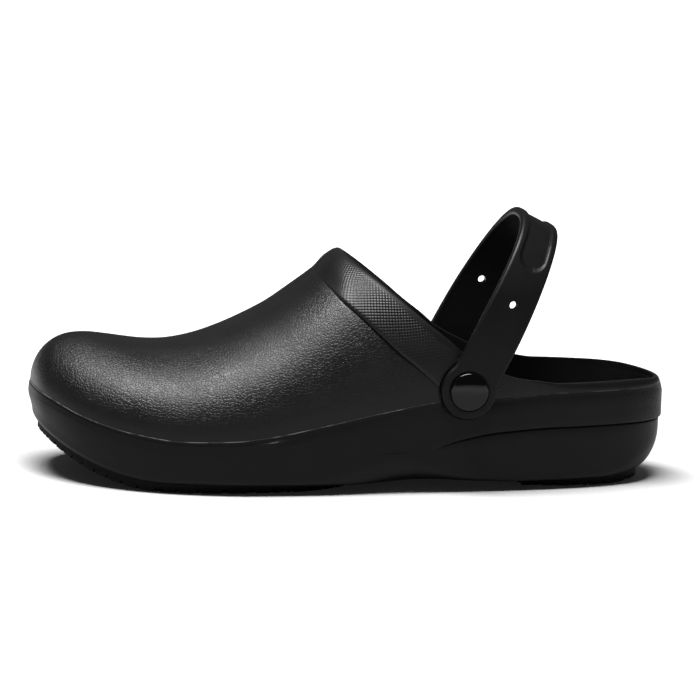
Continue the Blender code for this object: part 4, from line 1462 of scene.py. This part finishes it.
@dataclass
class Insole:
    """Soft footbed in the cup, rounded along its edge."""

    sole: Sole
    thickness: float = 4 * MM
    clearance: float = 0.5 * MM
    finish: InsoleFinish = field(default_factory=InsoleFinish)
    # Rows of the rounded edge: row of the cup, mm further in, and share of the thickness.
    edge_rows: Rows = ((3, 0.3, 0.35), (1, 0.4, 0.72), (1, 0.9, 0.92), (1, 2.0, 1.0))

    @staticmethod
    def above_bed(rise: float) -> Heights:
        """Height over the foam's bed at a place along the shoe."""
        return lambda x: LAST.bed(x) + rise

    def build(self) -> bpy.types.Object:
        """Makes the insole from the cup's own rows.

        Returns:
            The dressed insole.
        """
        skin = Skin()
        x = np.concatenate(LAST.ring(Quality.MEDIUM))
        for side in Side:
            cup = [inset + self.clearance for inset, _ in self.sole.cup(x)]
            floor = LAST.bed(x) + LAST.gap
            low, high = self.above_bed(LAST.gap), self.above_bed(LAST.gap + self.thickness)
            points = [LAST.inward(x, side, cup[-1], share, low) for share in (1.0, 0.66, 0.33, 0.0)]
            for row, out, up in self.edge_rows:
                edge = LAST.edge(x, side, cup[row] + out * MM)
                points.append(stack(*edge, floor + up * self.thickness))
            points += [LAST.inward(x, side, cup[-1], share, high) for share in (0.15, 0.35, 0.6, 0.8, 1.0)]
            skin.add(np.stack(points, axis=1))
        return dressed(skin.made("footbed", 50), self.finish.made(), "insole_foam", "insole")


@dataclass
class Tread:
    """Rubber pad inlaid in the sole, its underside a lattice of rhombic lugs."""

    node: str
    rows: Rows
    start: float
    length: float
    width: float
    slant: float
    turn: float
    inlay: float = 1.5 * MM
    lug: tuple[float, float] = (11.7 * MM, 8.1 * MM)
    groove: tuple[float, float] = (1.7 * MM, 1.9 * MM)
    points: int = 40
    bends: int = 28
    finish: RubberFinish = field(default_factory=RubberFinish)

    def outline(self, grow: float) -> np.ndarray:
        """Closed plan outline, grown outwards by a distance.

        Args:
            grow: The distance.

        Returns:
            The outline's points.
        """
        ring = []
        places = np.arange(self.points + 1) / self.points
        for column, side in ((1, Side.OUTER), (2, Side.INNER)):
            if self.slant:
                shares = np.sin(math.pi / 2 * places)
                y = side.value * self.width * Profile(self.rows, column)(shares)
                x = self.start + self.length * shares + self.slant * (0.5 - y / self.width) * (1 - shares)
            else:
                turns = by_turn(self.rows)
                places_here = turns[-1][0] * places
                y = side.value * self.width * Profile(turns, column)(places_here)
                x = self.start + self.length * (1 - np.cos(places_here)) / 2
            run = np.stack((x, y), -1)
            ring.append(run if side is Side.OUTER else run[::-1])
        ring = np.concatenate(ring)
        ring = ring[np.linalg.norm(ring - np.roll(ring, -1, axis=0), axis=1) > 0.4 * MM]
        first, second = ring - np.roll(ring, 1, axis=0), np.roll(ring, -1, axis=0) - ring
        normal = sum(unit(np.stack((way[:, 1], -way[:, 0]), -1)) for way in (first, second))
        return ring + grow * 2 * normal / np.sum(normal * normal, axis=1, keepdims=True)

    def prism(self, grow: float, low: float, high: float, bent: bool = True) -> bpy.types.Object:
        """Closed upright prism over the outline, bent up with the sole.

        Args:
            grow: Distance that the outline is grown by.
            low: Underside's height before bending.
            high: Top's height before bending.
            bent: Whether it follows the toe and heel spring.

        Returns:
            The object.
        """
        ring = self.outline(grow)
        data = bpy.data.meshes.new("pad")
        with edited(data) as mesh:
            bottom, top = ([mesh.verts.new((*point, z)) for point in ring] for z in (low, high))
            for i, vert in enumerate(bottom):
                j = (i + 1) % len(ring)
                mesh.faces.new((vert, bottom[j], top[j], top[i]))
            mesh.faces.new(bottom)
            mesh.faces.new(top)
            for place in np.linspace(ring[:, 0].min(), ring[:, 0].max(), self.bends + 1)[1:-1]:
                parts = mesh.verts[:] + mesh.edges[:] + mesh.faces[:]
                bmesh.ops.bisect_plane(mesh, geom=parts, plane_co=(place, 0, 0), plane_no=(1, 0, 0))
            bmesh.ops.triangulate(mesh, faces=mesh.faces)
        carried(data, lambda points: in_row_frame(self.sprung(points) if bent else points))
        welded(data)
        return placed(data, "pad")

    @staticmethod
    def sprung(points: np.ndarray) -> np.ndarray:
        """Points in the last's frame, raised by the sole's toe and heel spring."""
        return points + stack(0.0, 0.0, LAST.spring(points[:, 0]))

    def lattice_tree(self) -> bpy.types.NodeTree:
        """Geometry Nodes that set one lug on every point.

        Returns:
            The tree, with its sizes and material as named inputs.
        """
        tree = bpy.data.node_groups.new(f"{self.node}_lugs", "GeometryNodeTree")
        sizes = dict.fromkeys(("Long Side", "Short Side", "Depth", "Foot", "Turn"), "Float")
        for name, kind in {"Geometry": "Geometry", **sizes, "Material": "Material"}.items():
            tree.interface.new_socket(name, in_out="INPUT", socket_type=f"NodeSocket{kind}")
        tree.interface.new_socket("Geometry", in_out="OUTPUT", socket_type="NodeSocketGeometry")
        kinds = ("NodeGroupInput", "GeometryNodeMeshCone", "ShaderNodeCombineXYZ", "ShaderNodeCombineXYZ",
                 "GeometryNodeTransform", "GeometryNodeInstanceOnPoints", "GeometryNodeRealizeInstances",
                 "GeometryNodeSetMaterial", "NodeGroupOutput")
        nodes = [tree.nodes.new(kind) for kind in kinds]
        given, cone, scale, turn, shaped, spread, real, dressing, out = nodes
        cone.inputs["Vertices"].default_value = 4
        cone.inputs["Radius Top"].default_value = 0.492
        scale.inputs["Z"].default_value = 1.0
        links = (
            (given, "Foot", cone, "Radius Bottom"), (given, "Depth", cone, "Depth"),
            (given, "Long Side", scale, "X"), (given, "Short Side", scale, "Y"), (given, "Turn", turn, "Z"),
            (cone, "Mesh", shaped, "Geometry"), (scale, "Vector", shaped, "Scale"),
            (turn, "Vector", shaped, "Rotation"), (given, "Geometry", spread, "Points"),
            (shaped, "Geometry", spread, "Instance"), (spread, "Instances", real, "Geometry"),
            (real, "Geometry", dressing, "Geometry"), (given, "Material", dressing, "Material"),
            (dressing, "Geometry", out, "Geometry"),
        )
        for source, output, target, entry in links:
            tree.links.new(source.outputs[output], target.inputs[entry])
        return tree

    def lugs(self, material: bpy.types.Material) -> bpy.types.Object:
        """Sets the lugs out over the pad and trims them to its outline.

        Args:
            material: The rubber.

        Returns:
            The lugs on a plane, not yet bent.
        """
        ring = self.outline(0.0)
        centre = ring.mean(axis=0)
        reach = int(np.linalg.norm(ring - centre, axis=1).max() / self.lug[1]) + 2
        along = np.array((math.cos(self.turn), math.sin(self.turn))) * self.lug[0] / 2
        across = np.array((-math.sin(self.turn), math.cos(self.turn))) * self.lug[1] / 2
        spots = [centre + (i + j) * along + (i - j) * across for i in range(-reach, reach + 1)
                 for j in range(-reach, reach + 1)]
        near = [spot for spot in spots if np.linalg.norm(ring - spot, axis=1).min() < self.lug[0] / 2
                or self.holds(ring, spot)]
        data = bpy.data.meshes.new("lug_spots")
        data.from_pydata([(*spot, 0.0) for spot in near], [], [])
        thing = placed(data, f"{self.node}_lug_spots")
        step = thing.modifiers.new("lugs", "NODES")
        step.node_group = self.lattice_tree()
        slope = self.groove[0] / (self.lug[0] * self.lug[1] / math.hypot(*self.lug))
        given = {"Long Side": self.lug[0], "Short Side": self.lug[1], "Depth": self.groove[1] + 0.1 * MM,
                 "Foot": (1 - slope) / 2, "Turn": self.turn, "Material": material}
        for socket in step.node_group.interface.items_tree:
            if socket.in_out == "INPUT" and socket.name in given:
                step[socket.identifier] = given[socket.name]
        applied(thing, 20)
        carried(thing.data, lambda points: in_row_frame(points - (0, 0, points[:, 2].min())))
        carved(thing, [("INTERSECT", self.prism(0.0, -MM, self.groove[1] + 2 * MM, bent=False))], 20)
        return thing

    @staticmethod
    def holds(ring: np.ndarray, spot: np.ndarray) -> bool:
        """Whether a closed outline goes round a spot.

        Args:
            ring: The outline's points.
            spot: The spot.

        Returns:
            Whether it does.
        """
        here, after = ring - spot, np.roll(ring, -1, axis=0) - spot
        cross = here[:, 0] * after[:, 1] - here[:, 1] * after[:, 0]
        turns = np.arctan2(cross, np.sum(here * after, axis=1))
        return abs(turns.sum()) > math.pi

    def build(self, material: bpy.types.Material) -> bpy.types.Object:
        """Makes the pad: its lugs under a thin slab, bent up with the sole.

        Args:
            material: The rubber.

        Returns:
            The dressed pad.
        """
        lugs = self.lugs(material)
        origin = in_row_frame(np.zeros((1, 3)))
        carried(lugs.data, lambda points: in_row_frame(self.sprung(points - origin)))
        slab = self.prism(0.0, self.groove[1], LAST.lift + self.inlay - LAST.gap)
        data = bpy.data.meshes.new(f"{self.node}_rubber")
        with edited(data) as mesh:
            mesh.from_mesh(lugs.data)
            mesh.from_mesh(slab.data)
            bmesh.ops.recalc_face_normals(mesh, faces=mesh.faces)
        for helper in (lugs, slab):
            bpy.data.objects.remove(helper)
        return dressed(placed(data, f"{self.node}_rubber", 20), material, "tread_rubber", self.node)


def forefoot_tread() -> Tread:
    """The forefoot's pad.

    Returns:
        The pad.
    """
    rows = (
        (0.000, 0.005, -0.005), (0.015, 0.124, 0.104), (0.060, 0.277, 0.214), (0.130, 0.410, 0.280),
        (0.226, 0.520, 0.336), (0.347, 0.588, 0.364), (0.500, 0.612, 0.382), (0.670, 0.589, 0.359),
        (0.805, 0.545, 0.264), (0.905, 0.470, 0.136), (0.973, 0.370, -0.020), (1.000, 0.236, -0.236),
    )
    width = LAST.ball_width - 11 * MM
    return Tread("forefoot_tread", rows, 4.6 * MM, 140 * MM, width, 0.0, math.radians(4))


def heel_tread() -> Tread:
    """The heel's pad, its front end slanted.

    Returns:
        The pad.
    """
    rows = (
        (0.00, 0.510, 0.470), (0.30, 0.508, 0.492), (0.50, 0.475, 0.497), (0.70, 0.408, 0.440),
        (0.87, 0.300, 0.325), (0.97, 0.155, 0.170), (1.00, 0.000, 0.000),
    )
    length = 69 * MM
    start = LAST.length - 10 * MM - length
    middle = np.array([start + length / 2])
    width = float(LAST.edge(middle, Side.INNER)[1][0] - LAST.edge(middle, Side.OUTER)[1][0]) - 14 * MM
    return Tread("heel_tread", rows, start, length, width, 10.5 * MM, math.radians(-9))


@dataclass
class Studio:
    """Camera, soft lights and a plain white floor."""

    target: tuple[float, float, float] = (0.0, 0.0115, 0.055)
    distance: float = 1.6
    azimuth: float = math.radians(-8.2)
    elevation: float = math.radians(9.2)
    roll: float = math.radians(2.4)
    lens: float = 181.4
    floor_reach: float = 9.0
    floor_drop: float = 0.2 * MM
    floor_grey: float = 0.33
    floor_light: float = 1.08
    glow: tuple[float, float, float, float] = (0.12, 0.60, 0.008, 1.0)
    surround: float = 0.08
    key_place: tuple[float, float, float] = (-0.16, -0.13, 1.2)
    key_aim: tuple[float, float, float] = (-0.05, 0.0, 0.05)
    key_size: tuple[float, float] = (0.9, 0.46)
    key_power: float = 64.0

    def camera(self) -> None:
        """Places the camera at the photo's angle."""
        flat = math.cos(self.elevation)
        across, along = math.sin(self.azimuth) * flat, -math.cos(self.azimuth) * flat
        back = Vector((across, along, math.sin(self.elevation)))
        right = Vector((0, 0, 1)).cross(back).normalized()
        facing = Matrix((right, back.cross(right), back)).transposed().to_4x4()
        camera = bpy.data.objects.new("camera", bpy.data.cameras.new("camera"))
        camera.data.lens, camera.data.sensor_width = self.lens, 36.0
        camera.matrix_world = (Matrix.Translation(Vector(self.target) + back * self.distance) @ facing
                               @ Matrix.Rotation(self.roll, 4, "Z"))
        bpy.context.scene.collection.objects.link(camera)
        bpy.context.scene.camera = camera

    @staticmethod
    def light(
        name: str, place: Sequence[float], aim: Sequence[float], size: tuple[float, float], power: float,
    ) -> None:
        """Adds one soft box.

        Args:
            name: The light's name.
            place: Where it hangs.
            aim: The point that it faces.
            size: Its width and height.
            power: Its power in watts.
        """
        data = bpy.data.lights.new(name, "AREA")
        data.shape, data.size, data.size_y, data.energy = "RECTANGLE", *size, power
        lamp = bpy.data.objects.new(name, data)
        lamp.location = place
        lamp.rotation_euler = (Vector(place) - Vector(aim)).to_track_quat("Z", "Y").to_euler()
        bpy.context.scene.collection.objects.link(lamp)

    def floor(self) -> None:
        """Lays the white floor, its emission a painted glow: faint by the shoe and full from 0.6 m away."""
        data = bpy.data.meshes.new("floor")
        with edited(data) as mesh:
            bmesh.ops.create_grid(mesh, x_segments=4, y_segments=4, size=self.floor_reach)
        data.transform(Matrix.Translation((0, 0, -self.floor_drop)))
        floor = placed(data, "floor")
        recipe = Recipe("white_floor")
        tone = recipe.ranged(recipe.noise(8.0), 0.3, 0.7, 0.55, 0.65)
        away = recipe.add("ShaderNodeVectorMath", {"operation": "LENGTH"}, {0: recipe.place()}, "Value")
        # Painted glow: the floor emits light, faintly within 0.12 m of the origin and fully beyond 0.6 m,
        # where the key light falls off.
        glow = recipe.ranged(away, *self.glow)
        shine = recipe.blend(glow, grey(0.0), grey(1.0))
        white = recipe.shade(
            Base_Color=grey(self.floor_grey), Roughness=tone, Specular_IOR_Level=0.1,
            Emission_Color=shine, Emission_Strength=self.floor_light,
        )
        data.materials.append(white)

    def build(self) -> None:
        """Sets up the whole studio."""
        self.camera()
        self.floor()
        scene = bpy.context.scene
        scene.view_settings.view_transform = "Standard"
        scene.world = bpy.data.worlds.new("studio")
        scene.world.use_nodes = True
        surround = scene.world.node_tree.nodes["Background"]
        surround.inputs["Color"].default_value = (1, 1, 1, 1)
        surround.inputs["Strength"].default_value = self.surround
        self.light("key", self.key_place, self.key_aim, self.key_size, self.key_power)


def main() -> None:
    """Builds every piece in the order in which it would be put together, then the studio."""
    logging.basicConfig(level=logging.INFO, format="%(name)s: %(message)s")
    strap = Strap()
    treads = (forefoot_tread(), heel_tread())
    sole = Sole(strap)
    sole.build(treads)
    rubber = RubberFinish().made()
    for tread in treads:
        tread.build(rubber)
    Insole(sole).build()
    Upper(strap).build()
    strap.build()
    plastic = RivetFinish().made()
    for side in Side:
        Rivet(side, strap).build(plastic)
    Studio().build()


if __name__ == "__main__":
    main()
